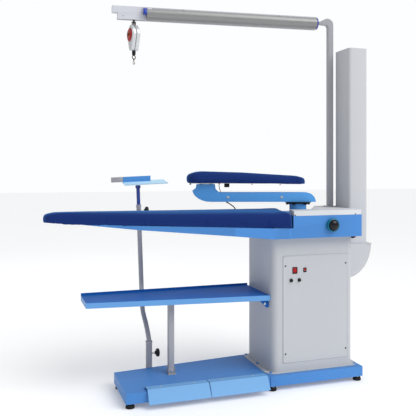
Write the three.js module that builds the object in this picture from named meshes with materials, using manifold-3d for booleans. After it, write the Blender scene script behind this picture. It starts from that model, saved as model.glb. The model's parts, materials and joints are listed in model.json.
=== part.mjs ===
// Industrial vacuum ironing table with a swing-arm sleeve board, an exhaust stack,
// an adjustable iron rest and an overhead rail with a lamp and an iron balancer.
// Millimetres, +Z up. X runs from the board's nose to the cabinet, Y runs away from the operator.
// The layout is drawn from the footboard's front left corner, and the whole group is then centred
// so that its origin is the middle of its footprint on the floor.
import * as THREE from 'three';
import { mergeVertices } from 'three/addons/utils/BufferGeometryUtils.js';
import Module from 'manifold-3d';

const wasm = await Module();
wasm.setup();

// ---------------------------------------------------------------- driving dimensions
const GAP = 0.3;          // air left between two pieces that touch
const SHEET = 2.5;        // folded steel sheet

const BASE = { right: 1265, seam: 730, backLeft: 320, backSeam: 393, bottom: 25.4, top: 76.2, lip: 32 };
const FOOT = { radius: 22, stemRadius: 13 };
const FOOT_PLACES = [[25, 26], [752, 24], [1242, 24], [25, 296], [752, 370], [1242, 370]];

const PEDAL = {
  foldY: -6, foldZ: 87.5, lowY: -44, lowZ: 28, rodRadius: 2.2, eyeRadius: 4.6,
  hingeY: 38, hingeZ: 81.6,
};
const PEDAL_SPANS = { vacuum_pedal: [101, 404], blow_pedal: [408, 712] };
const HINGE_LUGS = [[95, 98], [404.8, 407.2], [714, 717]];
const LIMIT_SWITCH = { y: 16, low: 48, plungerTop: 82.4, places: { vacuum_switch: 252, blow_switch: 560 } };

const CABINET = { left: 761.7, right: 1230.6, front: 42.6, back: 381, bottom: 76.5, top: 764.9, corner: 35 };
const FLANGE = { left: 731, right: 1262, front: 29.6, back: 394, corner: 46, height: 3 };
const DOOR = { left: 820.3, right: 1197.7, bottom: 125.3, top: 670.5, sheet: 2.2 };
const SWITCHES = {
  main: { x: 886, z: 596, width: 28, height: 34, tilt: 7 },
  heater: { x: 943, z: 596, width: 18, height: 23, tilt: 7 },
};
const FUSE = { z: 545.5, radius: 8, stem: 5.4, places: { fuse_cap_left: 865, fuse_cap_right: 911 } };

const BODY = { right: 1254, front: -5.5, back: 383, kink: 731, bottom: 765.2, top: 879.3 };
const COVER_TOP = 905;
const PAD = { frontX: 848, frontY: -28, slope: 0.245, noseX: -297, noseY: 312, noseR: 58, endX: 962, top: 897 };
const KNOB = { x: 1076, z: 828, radius: 27.5 };

const FAN = {
  x: 1000, y: 212, radius: 100, casing: 130, low: 556.5, high: 652,
  duct: 60, deck: 553.4, hub: 574,
};
const MOTOR = { low: 395, high: 545, radius: 72, flangeRadius: 88 };
const OUTLET = { front: 125, back: 255, low: 545, high: 690 };
const STACK = { left: 1256, right: 1371, front: 119, back: 273, bottom: 640, top: 1783, corner: 14, wall: 2 };
const ELBOW = { bottom: 524, top: 710, outer: 1389, front: 111, back: 281 };

const SHELF = { left: -160, frontLeft: 179, frontRight: 68, back: 381, top: 470, lipLow: 443, rearTop: 481 };
const SHELF_POST = { x: 274, y: 219, size: 30 };
const GUSSET = { low: 404, left: 688, front: 90 };

const ARM = {
  x: 965, y: 162, turn: 161.36, low: 943.3, high: 994, neck: 1037,
  halfWidth: 35, sleeveAt: 493, pin: 12,
};
const SLEEVE = { tip: -40, butt: 600, tipHalf: 45, buttHalf: 80, low: 1044.3, tipTop: 1080, buttTop: 1104 };

const STAND = { x: 192, y: 356, socketTop: 212, bend: 376, topX: 156.5, bendX: 176, backY: 450, top: 925 };
const STAND_R = { socket: 16.5, tube: 12.5, rod: 10 };
const TRAY = { x: 190, y: 450, z: 1046, width: 236, depth: 100, pitch: 11, roll: 2.6 };

const GANTRY = {
  x: 1228, y: 280, size: 30, turn: 173.82,
  shoulder: 1922, stubLow: 1938.5, stubHigh: 1951.5, crown: 1972.5,
};
const RAIL = { start: 84, lowerEnd: 1202, upperEnd: 1230, low: 1908, middle: 1943, high: 1977, half: 17 };
const LAMP = { start: 95, end: 1049, radius: 32, z: 1938 };
const BALANCER = { at: 1114.5, turn: 16, pivotZ: 1894, drumZ: 1829, drumR: 44, low: 1746, half: 21, discR: 35 };

// ---------------------------------------------------------------- finishes
const finish = (color, roughness, metalness) => ({ color, roughness, metalness });
const FRAME_BLUE = finish(0x5a96d2, 0.45, 0.1);
const PEDAL_BLUE = finish(0x7fb2e2, 0.45, 0.1);
const CLOTH_BLUE = finish(0x1f3f9a, 0.95, 0);
const SHELF_BLUE = finish(0x2c63a8, 0.45, 0.1);
const CABINET_GREY = finish(0xc4c9cf, 0.5, 0.1);
const POST_GREY = finish(0xb9bcc9, 0.4, 0.3);
const COVER_WHITE = finish(0xe6e8ea, 0.5, 0.1);
const ROD_BLUE = finish(0x12408f, 0.3, 0.2);
const TRAY_BLUE = finish(0x8cc6ee, 0.4, 0.1);
const SILVER = finish(0xc9ccd0, 0.35, 0.6);
const STEEL = finish(0x9a9da1, 0.4, 0.9);
const BLACK = finish(0x111214, 0.4, 0);
const RUBBER = finish(0x1a1a1c, 0.85, 0);
const RED = finish(0xb01418, 0.35, 0);

// ---------------------------------------------------------------- geometry helpers
const vec2 = (x, y) => new THREE.Vector2(x, y);
const vec3 = (x, y, z) => new THREE.Vector3(x, y, z);

/** Turns a closed three.js geometry into a solid that can be joined and cut. */
function solid(geometry) {
  const bare = geometry.clone();
  bare.deleteAttribute('normal');
  bare.deleteAttribute('uv');
  const merged = mergeVertices(bare, 1e-4);
  return new wasm.Manifold(new wasm.Mesh({
    numProp: 3,
    vertProperties: new Float32Array(merged.attributes.position.array),
    triVerts: new Uint32Array(merged.index.array),
  }));
}

/** Turns a joined or cut solid back into a three.js geometry. */
function geometryOf(body) {
  const mesh = body.getMesh();
  const geometry = new THREE.BufferGeometry();
  geometry.setAttribute('position', new THREE.BufferAttribute(mesh.vertProperties, 3));
  geometry.setIndex(new THREE.BufferAttribute(mesh.triVerts, 1));
  geometry.computeVertexNormals();
  return geometry;
}

/** A straight extrusion of an outline along +Z, from 0 to the given depth. */
function extruded(outline, depth) {
  return new THREE.ExtrudeGeometry(new THREE.Shape(outline), { depth, bevelEnabled: false });
}

/** An upright prism of a plan outline, between two heights. */
function prism(outline, low, high) {
  return extruded(outline, high - low).translate(0, 0, low);
}

/** A prism of an X-Z outline, between two depths in Y. */
function prismY(outline, front, back) {
  return extruded(outline, back - front).rotateX(Math.PI / 2).translate(0, back, 0);
}

/** A prism of a Y-Z outline, between two places in X. */
function prismX(outline, left, right) {
  const turn = new THREE.Matrix4().makeBasis(vec3(0, 1, 0), vec3(0, 0, 1), vec3(1, 0, 0));
  return extruded(outline, right - left).applyMatrix4(turn).translate(left, 0, 0);
}

/** A box given by its two limits along each axis. */
function block([x0, x1], [y0, y1], [z0, z1]) {
  const geometry = new THREE.BoxGeometry(x1 - x0, y1 - y0, z1 - z0);
  return geometry.translate((x0 + x1) / 2, (y0 + y1) / 2, (z0 + z1) / 2);
}

/** A round bar between two points. */
function bar(from, to, radius, segments = 20) {
  const along = new THREE.Vector3().subVectors(to, from);
  const geometry = new THREE.CylinderGeometry(radius, radius, along.length(), segments);
  geometry.applyQuaternion(new THREE.Quaternion().setFromUnitVectors(vec3(0, 1, 0), along.clone().normalize()));
  const middle = new THREE.Vector3().addVectors(from, to).multiplyScalar(0.5);
  return geometry.translate(middle.x, middle.y, middle.z);
}

/** A turned piece: radius and height pairs from the axis round and back to it, axis +Z. */
function turned(profile, segments = 24) {
  const geometry = new THREE.LatheGeometry(profile.map(([radius, height]) => vec2(radius, height)), segments);
  return geometry.rotateX(Math.PI / 2);
}

/** A round tube or rod along a smooth curve through the given points. */
function swept(points, radius, sides, steps) {
  const circle = new THREE.Shape();
  for (let i = 0; i < sides; i += 1) {
    const angle = (i / sides) * 2 * Math.PI;
    const place = [radius * Math.cos(angle), radius * Math.sin(angle)];
    if (i === 0) circle.moveTo(...place);
    else circle.lineTo(...place);
  }
  circle.closePath();
  const path = new THREE.CatmullRomCurve3(points, false, 'centripetal');
  return new THREE.ExtrudeGeometry(circle, { steps, bevelEnabled: false, extrudePath: path });
}

/** Points of an arc, angles in degrees. */
function arc(x, y, radiusX, radiusY, from, to, count) {
  return Array.from({ length: count + 1 }, (_, i) => {
    const angle = THREE.MathUtils.degToRad(from + ((to - from) * i) / count);
    return vec2(x + radiusX * Math.cos(angle), y + radiusY * Math.sin(angle));
  });
}

/** Rounds each corner of a polygon with the given radius (one for all, or one for each corner). */
function rounded(corners, radius, steps = 3) {
  const count = corners.length;
  return corners.flatMap((corner, i) => {
    const r = Array.isArray(radius) ? radius[i] : radius;
    if (r <= 0) return [corner];
    const toPrevious = corners[(i + count - 1) % count].clone().sub(corner).normalize();
    const toNext = corners[(i + 1) % count].clone().sub(corner).normalize();
    const half = Math.acos(THREE.MathUtils.clamp(toPrevious.dot(toNext), -1, 1)) / 2;
    const reach = r / Math.tan(half);
    const start = corner.clone().addScaledVector(toPrevious, reach);
    const end = corner.clone().addScaledVector(toNext, reach);
    const bisector = toPrevious.clone().add(toNext).normalize();
    const centre = corner.clone().addScaledVector(bisector, r / Math.sin(half));
    const first = Math.atan2(start.y - centre.y, start.x - centre.x);
    let sweep = Math.atan2(end.y - centre.y, end.x - centre.x) - first;
    if (sweep > Math.PI) sweep -= 2 * Math.PI;
    if (sweep < -Math.PI) sweep += 2 * Math.PI;
    return Array.from({ length: steps + 1 }, (_, k) => {
      const angle = first + (sweep * k) / steps;
      return vec2(centre.x + r * Math.cos(angle), centre.y + r * Math.sin(angle));
    });
  });
}

/** A rectangle's outline, with rounded corners. */
function rectangle(x0, x1, y0, y1, radius = 0, steps = 3) {
  return rounded([vec2(x0, y0), vec2(x1, y0), vec2(x1, y1), vec2(x0, y1)], radius, steps);
}

/** Moves every edge of a convex anticlockwise polygon inwards. */
function inset(corners, distance) {
  const count = corners.length;
  return corners.map((corner, i) => {
    const before = corner.clone().sub(corners[(i + count - 1) % count]).normalize();
    const after = corners[(i + 1) % count].clone().sub(corner).normalize();
    const normalBefore = vec2(-before.y, before.x);
    const normalAfter = vec2(-after.y, after.x);
    const share = distance / (1 + normalBefore.dot(normalAfter));
    return corner.clone().addScaledVector(normalBefore, share).addScaledVector(normalAfter, share);
  });
}

/** Closes an open line of points into a bent sheet of the given thickness, on its left side. */
function bentSheet(line, thickness) {
  const other = line.map((point, i) => {
    const before = i > 0 ? point.clone().sub(line[i - 1]).normalize() : null;
    const after = i < line.length - 1 ? line[i + 1].clone().sub(point).normalize() : null;
    const first = before ?? after;
    const second = after ?? before;
    const normalFirst = vec2(-first.y, first.x);
    const normalSecond = vec2(-second.y, second.x);
    const share = thickness / (1 + normalFirst.dot(normalSecond));
    return point.clone().addScaledVector(normalFirst, share).addScaledVector(normalSecond, share);
  });
  return [...line, ...other.reverse()];
}

// ---------------------------------------------------------------- scene graph
const machine = new THREE.Group();

/** Adds one named sub-part to a group. */
function part(name, geometry, look, parent = machine) {
  const material = new THREE.MeshStandardMaterial(look);
  const mesh = new THREE.Mesh(geometry, material);
  mesh.name = name;
  parent.add(mesh);
  return mesh;
}

// ---------------------------------------------------------------- base: two folded pans on rubber feet
function basePan(corners) {
  const hollow = solid(prism(inset(corners, SHEET), BASE.bottom + SHEET, BASE.top - SHEET));
  const mouth = solid(prism(inset(corners, BASE.lip), BASE.bottom - 1, BASE.bottom + SHEET + 1));
  return solid(prism(rounded(corners, 5, 2), BASE.bottom, BASE.top)).subtract(hollow).subtract(mouth);
}

function buildBase() {
  const seamLeft = BASE.seam - 0.25;
  const seamRight = BASE.seam + 0.25;
  const board = [vec2(0, 0), vec2(seamLeft, 0), vec2(seamLeft, BASE.backSeam), vec2(0, BASE.backLeft)];
  const plinth = [vec2(seamRight, 0), vec2(BASE.right, 0), vec2(BASE.right, BASE.backSeam + 4),
    vec2(seamRight, BASE.backSeam)];

  let footboard = basePan(board);
  const { hingeY, hingeZ, rodRadius } = PEDAL;
  const lugOutline = rectangle(hingeY - 6, hingeY + 6, BASE.top - 0.5, hingeZ + 6.4, 2, 2);
  for (const [left, right] of HINGE_LUGS) {
    footboard = footboard.add(solid(prismX(lugOutline, left, right)));
  }
  const rodHole = bar(vec3(90, hingeY, hingeZ), vec3(722, hingeY, hingeZ), rodRadius + 0.4, 12);
  footboard = footboard.subtract(solid(rodHole));
  for (const x of Object.values(LIMIT_SWITCH.places)) {
    const plungerHole = bar(vec3(x, LIMIT_SWITCH.y, 70), vec3(x, LIMIT_SWITCH.y, 80), 3.4, 12);
    footboard = footboard.subtract(solid(plungerHole));
  }
  part('footboard', geometryOf(footboard), FRAME_BLUE);
  part('cabinet_plinth', geometryOf(basePan(plinth)), FRAME_BLUE);

  const profile = [[0, 0], [FOOT.radius - 3, 0], [FOOT.radius, 4], [FOOT.radius - 3, 20], [FOOT.stemRadius, 20],
    [FOOT.stemRadius, BASE.bottom - GAP], [0, BASE.bottom - GAP]];
  FOOT_PLACES.forEach(([x, y], i) => {
    part(`foot_${i + 1}`, turned(profile, 16).translate(x, y, 0), RUBBER);
  });
}

// ---------------------------------------------------------------- pedals on one hinge rod, with their switches
function buildPedals() {
  const fold = vec2(PEDAL.foldY, PEDAL.foldZ);
  const sheetLine = [vec2(PEDAL.lowY + 9, PEDAL.lowZ - 2.5), vec2(PEDAL.lowY, PEDAL.lowZ), fold,
    vec2(PEDAL.hingeY - 1, PEDAL.hingeZ + PEDAL.eyeRadius)];
  const outline = bentSheet(sheetLine, -2);
  const alongHinge = (left, right, radius, sides) => bar(vec3(left, PEDAL.hingeY, PEDAL.hingeZ),
    vec3(right, PEDAL.hingeY, PEDAL.hingeZ), radius, sides);
  for (const [name, [left, right]] of Object.entries(PEDAL_SPANS)) {
    const eye = alongHinge(left, right, PEDAL.eyeRadius, 16);
    const bore = alongHinge(left - 1, right + 1, PEDAL.rodRadius + 0.4, 12);
    const pedal = solid(prismX(outline, left, right)).add(solid(eye)).subtract(solid(bore));
    part(name, geometryOf(pedal), PEDAL_BLUE);
  }
  part('pedal_rod', alongHinge(93, 719, PEDAL.rodRadius, 12), STEEL);

  const { y, low, plungerTop, places } = LIMIT_SWITCH;
  for (const [name, x] of Object.entries(places)) {
    const housing = solid(block([x - 14, x + 14], [y - 10, y + 10], [low, BASE.top - SHEET - GAP]));
    const plunger = solid(bar(vec3(x, y, low + 12), vec3(x, y, plungerTop), 2.6, 12));
    part(name, geometryOf(housing.add(plunger)), BLACK);
  }
}

// ---------------------------------------------------------------- cabinet shell, door and its controls
function buildCabinet() {
  const { left, right, front, back, bottom, top, corner } = CABINET;
  const outline = (grow, radius) => rectangle(left - grow, right + grow, front - grow, back + grow, radius, 5);
  const flange = prism(rectangle(FLANGE.left, FLANGE.right, FLANGE.front, FLANGE.back, FLANGE.corner, 5),
    bottom, bottom + FLANGE.height);
  let shell = solid(prism(outline(0, corner), bottom, top)).add(solid(flange));
  shell = shell.subtract(solid(prism(outline(-SHEET, corner - SHEET), bottom + FLANGE.height, top - SHEET)));
  shell = shell.subtract(solid(prism(outline(-24, 14), bottom - 1, top + 1)));
  shell = shell.subtract(solid(block([DOOR.left + 16, DOOR.right - 16], [front - 5, front + 10],
    [DOOR.bottom + 16, DOOR.top - 16])));
  const outlet = block([right - 10, right + 5], [OUTLET.front, OUTLET.back], [OUTLET.low, OUTLET.high]);
  shell = shell.subtract(solid(outlet));
  part('cabinet_shell', geometryOf(shell), CABINET_GREY);

  const doorBack = front - GAP;
  const doorOutline = rectangle(DOOR.left, DOOR.right, DOOR.bottom, DOOR.top, 3, 2);
  let door = solid(prismY(doorOutline, doorBack - DOOR.sheet, doorBack));
  for (const { x, z, width, height } of Object.values(SWITCHES)) {
    door = door.subtract(solid(block([x - width / 2 + 1.4, x + width / 2 - 1.4], [doorBack - 5, doorBack + 5],
      [z - height / 2 + 1.4, z + height / 2 - 1.4])));
  }
  for (const x of Object.values(FUSE.places)) {
    const hole = bar(vec3(x, doorBack - 5, FUSE.z), vec3(x, doorBack + 5, FUSE.z), FUSE.stem + 0.7, 16);
    door = door.subtract(solid(hole));
  }
  part('door_panel', geometryOf(door), CABINET_GREY);
  buildControls(doorBack - DOOR.sheet - GAP);
}

/** The two rocker switches and the two fuse caps; face is the Y of their seats on the door. */
function buildControls(face) {
  const pivotY = face + 6.5;
  for (const [name, { x, z, width, height, tilt }] of Object.entries(SWITCHES)) {
    const pocket = (margin, front, back) => solid(block([x - width / 2 + margin, x + width / 2 - margin],
      [face + front, face + back], [z - height / 2 + margin, z + height / 2 - margin]));
    const bezel = pocket(0, -2.2, 0);
    const sleeve = pocket(2, -1, 26);
    const recess = pocket(3.4, -5, 16);
    part(`${name}_switch_frame`, geometryOf(bezel.add(sleeve).subtract(recess)), BLACK);

    const halfHeight = height / 2 - 5.2;
    const key = prismX([vec2(-8.5, -halfHeight), vec2(-6.5, 0), vec2(-8.5, halfHeight), vec2(4, halfHeight),
      vec2(6, 0), vec2(4, -halfHeight)], -width / 2 + 3.9, width / 2 - 3.9);
    const rocker = part(`${name}_rocker`, key, RED);
    rocker.position.set(x, pivotY, z);
    rocker.rotation.x = THREE.MathUtils.degToRad(-tilt);
  }
  for (const [name, x] of Object.entries(FUSE.places)) {
    const cap = solid(turned([[0, 0], [FUSE.radius, 0], [FUSE.radius, 7], [FUSE.radius - 1.5, 9], [0, 9]], 20));
    const stem = solid(turned([[0, -18], [FUSE.stem, -18], [FUSE.stem, 1], [0, 1]], 16));
    const slot = solid(block([-6, 6], [-0.9, 0.9], [7.4, 10]));
    const mesh = part(name, geometryOf(cap.add(stem).subtract(slot)), BLACK);
    mesh.position.set(x, face, FUSE.z);
    mesh.rotation.x = Math.PI / 2;
  }
}

// ---------------------------------------------------------------- fan unit inside the cabinet
function buildFan() {
  const { x, y, radius, casing, low, high, duct, deck, hub } = FAN;
  const upright = (from, to, r, sides = 28) => solid(bar(vec3(x, y, from), vec3(x, y, to), r, sides));

  const wall = SHEET + 0.8;
  const { left, right, front, back, corner } = CABINET;
  const deckOutline = rectangle(left + wall, right - wall, front + wall, back - wall, corner - wall, 5);
  let deckPlate = solid(prism(deckOutline, deck, deck + 2.8)).subtract(upright(deck - 5, deck + 8, 22, 20));
  for (const side of [left + wall + 0.5, right - wall - 3]) {
    deckPlate = deckPlate.add(solid(block([side, side + 2.5], [90, 330], [deck - 23, deck + 0.5])));
  }
  part('blower_deck', geometryOf(deckPlate), STEEL);

  const spout = (margin, end) => solid(block([x, end], [OUTLET.front + margin, OUTLET.back - margin],
    [low + margin, high - margin]));
  const shell = upright(low, high, casing, 36).add(spout(1.5, 1227));
  const hollow = upright(low + SHEET, high - SHEET, casing - SHEET, 36).add(spout(1.5 + SHEET, 1230));
  const casingBody = shell.subtract(hollow).subtract(upright(high - 5, high + 5, duct - 3))
    .subtract(upright(low - 5, low + 5, 14, 20));
  part('blower_housing', geometryOf(casingBody), CABINET_GREY);

  let wheel = upright(hub, hub + 3, radius)
    .add(upright(deck + 0.3, hub + 38, 9, 12))
    .add(upright(hub + 2, hub + 32, 18, 16));
  const blades = 8;
  for (let i = 0; i < blades; i += 1) {
    const blade = block([radius * 0.5, radius * 0.97], [-1.2, 1.2], [hub + 2.5, hub + 50]);
    blade.rotateZ(0.35).rotateZ((i / blades) * 2 * Math.PI).translate(x, y, 0);
    wheel = wheel.add(solid(blade));
  }
  part('impeller', geometryOf(wheel), STEEL);

  const motor = upright(MOTOR.low, MOTOR.high, MOTOR.radius)
    .add(upright(MOTOR.high - 1, deck - GAP, MOTOR.flangeRadius));
  part('motor', geometryOf(motor), ROD_BLUE);

  const pipe = upright(high + GAP, CABINET.top, duct).subtract(upright(high - 5, CABINET.top + 5, duct - 3));
  part('suction_duct', geometryOf(pipe), CABINET_GREY);
}

// ---------------------------------------------------------------- exhaust elbow and stack
function buildExhaust() {
  const start = CABINET.right + GAP;
  const rise = ELBOW.top - ELBOW.bottom;
  const sideView = (wall) => [vec2(start, ELBOW.top - wall),
    ...arc(start, ELBOW.top - wall, ELBOW.outer - start - wall, rise - 2 * wall, -90, 0, 8)];
  const outer = solid(prismY(sideView(0), ELBOW.front, ELBOW.back));
  const inner = solid(prismY(sideView(SHEET), ELBOW.front + SHEET, ELBOW.back - SHEET))
    .subtract(solid(block([start - 1, start + SHEET], [ELBOW.front, ELBOW.back], [ELBOW.bottom, ELBOW.top])));
  const rimOutline = rectangle(ELBOW.outer - 24, ELBOW.outer + 5, ELBOW.front - 4, ELBOW.back + 4, 6);
  const rim = solid(prism(rimOutline, ELBOW.top - 4, ELBOW.top));
  const doorway = solid(block([start - 5, start + 5], [OUTLET.front, OUTLET.back], [OUTLET.low, OUTLET.high]));
  const stackOutline = (wall) => rectangle(STACK.left + wall, STACK.right - wall, STACK.front + wall,
    STACK.back - wall, STACK.corner - wall, 4);
  const socket = solid(prism(stackOutline(-GAP - 0.1), ELBOW.top - 10, ELBOW.top + 5));
  const elbow = outer.add(rim).subtract(inner).subtract(doorway).subtract(socket);
  part('exhaust_elbow', geometryOf(elbow), CABINET_GREY);

  const stack = solid(prism(stackOutline(0), STACK.bottom, STACK.top))
    .subtract(solid(prism(stackOutline(STACK.wall), STACK.bottom - 1, STACK.top + 1)));
  part('exhaust_stack', geometryOf(stack), CABINET_GREY);
}

// ---------------------------------------------------------------- table: vacuum box, grid, cover and padded board
/** Plan outline of the padded board, moved inwards by the given distance. */
function boardOutline(distance) {
  const { frontX, frontY, slope, noseX, noseY, noseR, endX } = PAD;
  const back = noseY + noseR;
  const tangent = 270 - THREE.MathUtils.radToDeg(Math.atan(slope));
  const nose = arc(noseX, noseY, noseR - distance, noseR - distance, 90, tangent, 9);
  const along = vec2(1, -slope).normalize();
  const inwards = vec2(slope, 1).normalize();
  const corner = vec2(frontX, frontY).addScaledVector(inwards, distance);
  const endEdge = vec2(endX, back).sub(vec2(frontX, frontY)).normalize();
  const shift = distance / Math.abs(endEdge.clone().rotateAround(vec2(0, 0), Math.PI / 2).dot(along));
  const frontEnd = corner.clone().addScaledVector(along, -shift);
  const reach = (back - distance - frontEnd.y) / endEdge.y;
  const backEnd = frontEnd.clone().addScaledVector(endEdge, reach);
  const radii = [22 - distance * 0.5, 42 - distance * 0.5, ...nose.map(() => 0)];
  return rounded([frontEnd, backEnd, ...nose], radii, 5);
}

/** Height band between two X-Z lines, wide enough to trim any plan outline. */
const band = (lowLine, highLine) => solid(prismY([...lowLine, ...highLine.slice().reverse()], -200, 600));

const padBottom = [vec2(-400, 866), vec2(-190, 849), vec2(87, 837), vec2(1000, 814)];
const padTop = [vec2(-400, 899), vec2(-190, 900), vec2(300, 899), vec2(1000, PAD.top)];
const raise = (line, by) => line.map((point) => vec2(point.x, point.y + by));

function buildTable() {
  const { right, front, back, kink, bottom, top } = BODY;
  const underside = [vec2(-400, 868), vec2(-183, 845), vec2(87, 816.5), vec2(580, 778.5), vec2(kink, bottom),
    vec2(right + 50, bottom)];
  const ceiling = [vec2(-400, 950), vec2(right + 50, 950)];
  const leftPart = (distance, floor) => solid(prism(boardOutline(distance), 700, 940))
    .intersect(band(raise(underside, floor), ceiling))
    .intersect(solid(block([-212, 900], [-100, 500], [700, 940])));
  const rightPart = (grow) => solid(block([kink + 14 + grow, right - grow], [front + grow, back - grow],
    [bottom + grow, top - grow]));
  const padRoom = solid(prism(boardOutline(-1), 700, 980)).intersect(band(raise(padBottom, -GAP), ceiling));
  const endWall = solid(prism(boardOutline(-1 - SHEET), bottom + 20, top)).intersect(rightPart(0))
    .subtract(solid(prism(boardOutline(0), 700, 980)));

  const hem = 8;
  let box = leftPart(hem, 0).add(rightPart(0))
    .subtract(leftPart(hem + SHEET, SHEET))
    .subtract(rightPart(SHEET));
  box = box.add(endWall.intersect(solid(block([800, 1100], [front, back], [800, 900])))).subtract(padRoom);
  const frontNotch = band(raise(padBottom, -GAP), ceiling)
    .intersect(solid(block([kink, 800], [front - 5, front + 15], [700, 980])));
  box = box.subtract(frontNotch);
  const ductHole = bar(vec3(FAN.x, FAN.y, bottom - 5), vec3(FAN.x, FAN.y, bottom + 5), FAN.duct - 3, 28);
  box = box.subtract(solid(ductHole));
  box = box.subtract(solid(bar(vec3(KNOB.x, -20, KNOB.z), vec3(KNOB.x, 5, KNOB.z), 6, 16)));
  part('table_body', geometryOf(box), FRAME_BLUE);

  let grid = solid(prism(boardOutline(hem + SHEET + 1), 700, 980))
    .intersect(band(raise(padBottom, -2.6), raise(padBottom, -0.5)))
    .intersect(solid(block([-150, 840], [6, 500], [700, 980])));
  for (let x = 0; x <= 720; x += 120) {
    const start = PAD.frontY + PAD.slope * (PAD.frontX - x) + 60;
    grid = grid.subtract(solid(block([x, x + 14], [start, 345], [700, 980])));
  }
  part('vacuum_grid', geometryOf(grid), STEEL);

  const pad = solid(prism(boardOutline(0), 700, 980)).intersect(band(padBottom, padTop));
  part('board_pad', geometryOf(pad), CLOTH_BLUE);

  const coverCorners = [vec2(858.5, front), vec2(right, front), vec2(right, back), vec2(1185, back),
    vec2(1018, 112), vec2(893, 112)];
  const low = top + GAP;
  const coverSheet = 2.2;
  const cover = solid(prism(rounded(coverCorners, [4, 6, 6, 6, 4, 4], 2), low, COVER_TOP))
    .subtract(solid(prism(inset(coverCorners, coverSheet), low - 1, COVER_TOP - coverSheet)));
  part('top_cover', geometryOf(cover), COVER_WHITE);

  const dome = turned([[0, -26], [5, -26], [5, 4], [13, 5], [15, 9], [24, 11], [KNOB.radius, 18], [26, 25],
    [20, 31], [11, 35], [0, 36.5]], 28);
  const knob = part('regulator_knob', dome, BLACK);
  knob.position.set(KNOB.x, front, KNOB.z);
  knob.rotation.x = Math.PI / 2;
}

// ---------------------------------------------------------------- laundry shelf, its post and its bracket
function buildShelf() {
  const { left, frontLeft, frontRight, back, top, lipLow, rearTop } = SHELF;
  const right = CABINET.left - GAP;
  const corners = [vec2(left, frontLeft), vec2(right, frontRight), vec2(right, back), vec2(left, back)];
  const floor = solid(prism(corners, top - 2, top));
  const frontLip = solid(prism([corners[0], corners[1], vec2(right, frontRight + 2), vec2(left, frontLeft + 2)],
    lipLow, top));
  const sideLip = solid(block([left, left + 2], [frontLeft + 0.1, back], [lipLow, top]));
  const rearLip = solid(block([left, right], [back - 2, back], [top - 2, rearTop]));
  part('shelf', geometryOf(floor.add(frontLip).add(sideLip).add(rearLip)), SHELF_BLUE);

  const { x, y, size } = SHELF_POST;
  const section = (grow, radius) => rectangle(x - size / 2 + grow, x + size / 2 - grow, y - size / 2 + grow,
    y + size / 2 - grow, radius, 2);
  const post = solid(prism(section(0, 3), BASE.top + GAP, top - 2 - GAP))
    .subtract(solid(prism(section(2, 1), BASE.top - 1, top + 1)));
  part('shelf_post', geometryOf(post), POST_GREY);

  const high = top - 2 - GAP;
  const gusset = [vec2(GUSSET.left, high), vec2(GUSSET.left + 2, high - 6), vec2(right - 13, GUSSET.low),
    vec2(right, GUSSET.low), vec2(right, high)];
  const ear = block([right - SHEET, right], [GUSSET.front, GUSSET.front + 28], [GUSSET.low, high]);
  const bracket = solid(prismY(gusset, GUSSET.front, GUSSET.front + SHEET)).add(solid(ear));
  part('shelf_bracket', geometryOf(bracket), SHELF_BLUE);
}

// ---------------------------------------------------------------- swing arm and sleeve board
/** A group whose +X runs along the arm, from its swivel to the sleeve board's butt end. */
function armGroup() {
  const group = new THREE.Group();
  group.position.set(ARM.x, ARM.y, 0);
  group.rotation.z = THREE.MathUtils.degToRad(ARM.turn);
  machine.add(group);
  return group;
}

/** Plan outline of the sleeve board along the arm, moved inwards by the given distance. */
function sleeveOutline(distance) {
  const { tip, butt, tipHalf, buttHalf } = SLEEVE;
  const corners = [vec2(tip, -tipHalf), vec2(butt, -buttHalf), vec2(butt, buttHalf), vec2(tip, tipHalf)];
  const tipRadius = tipHalf - distance - 4;
  const buttRadius = 62 - distance;
  return rounded(inset(corners, distance), [tipRadius, buttRadius, buttRadius, tipRadius], 5);
}

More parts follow.
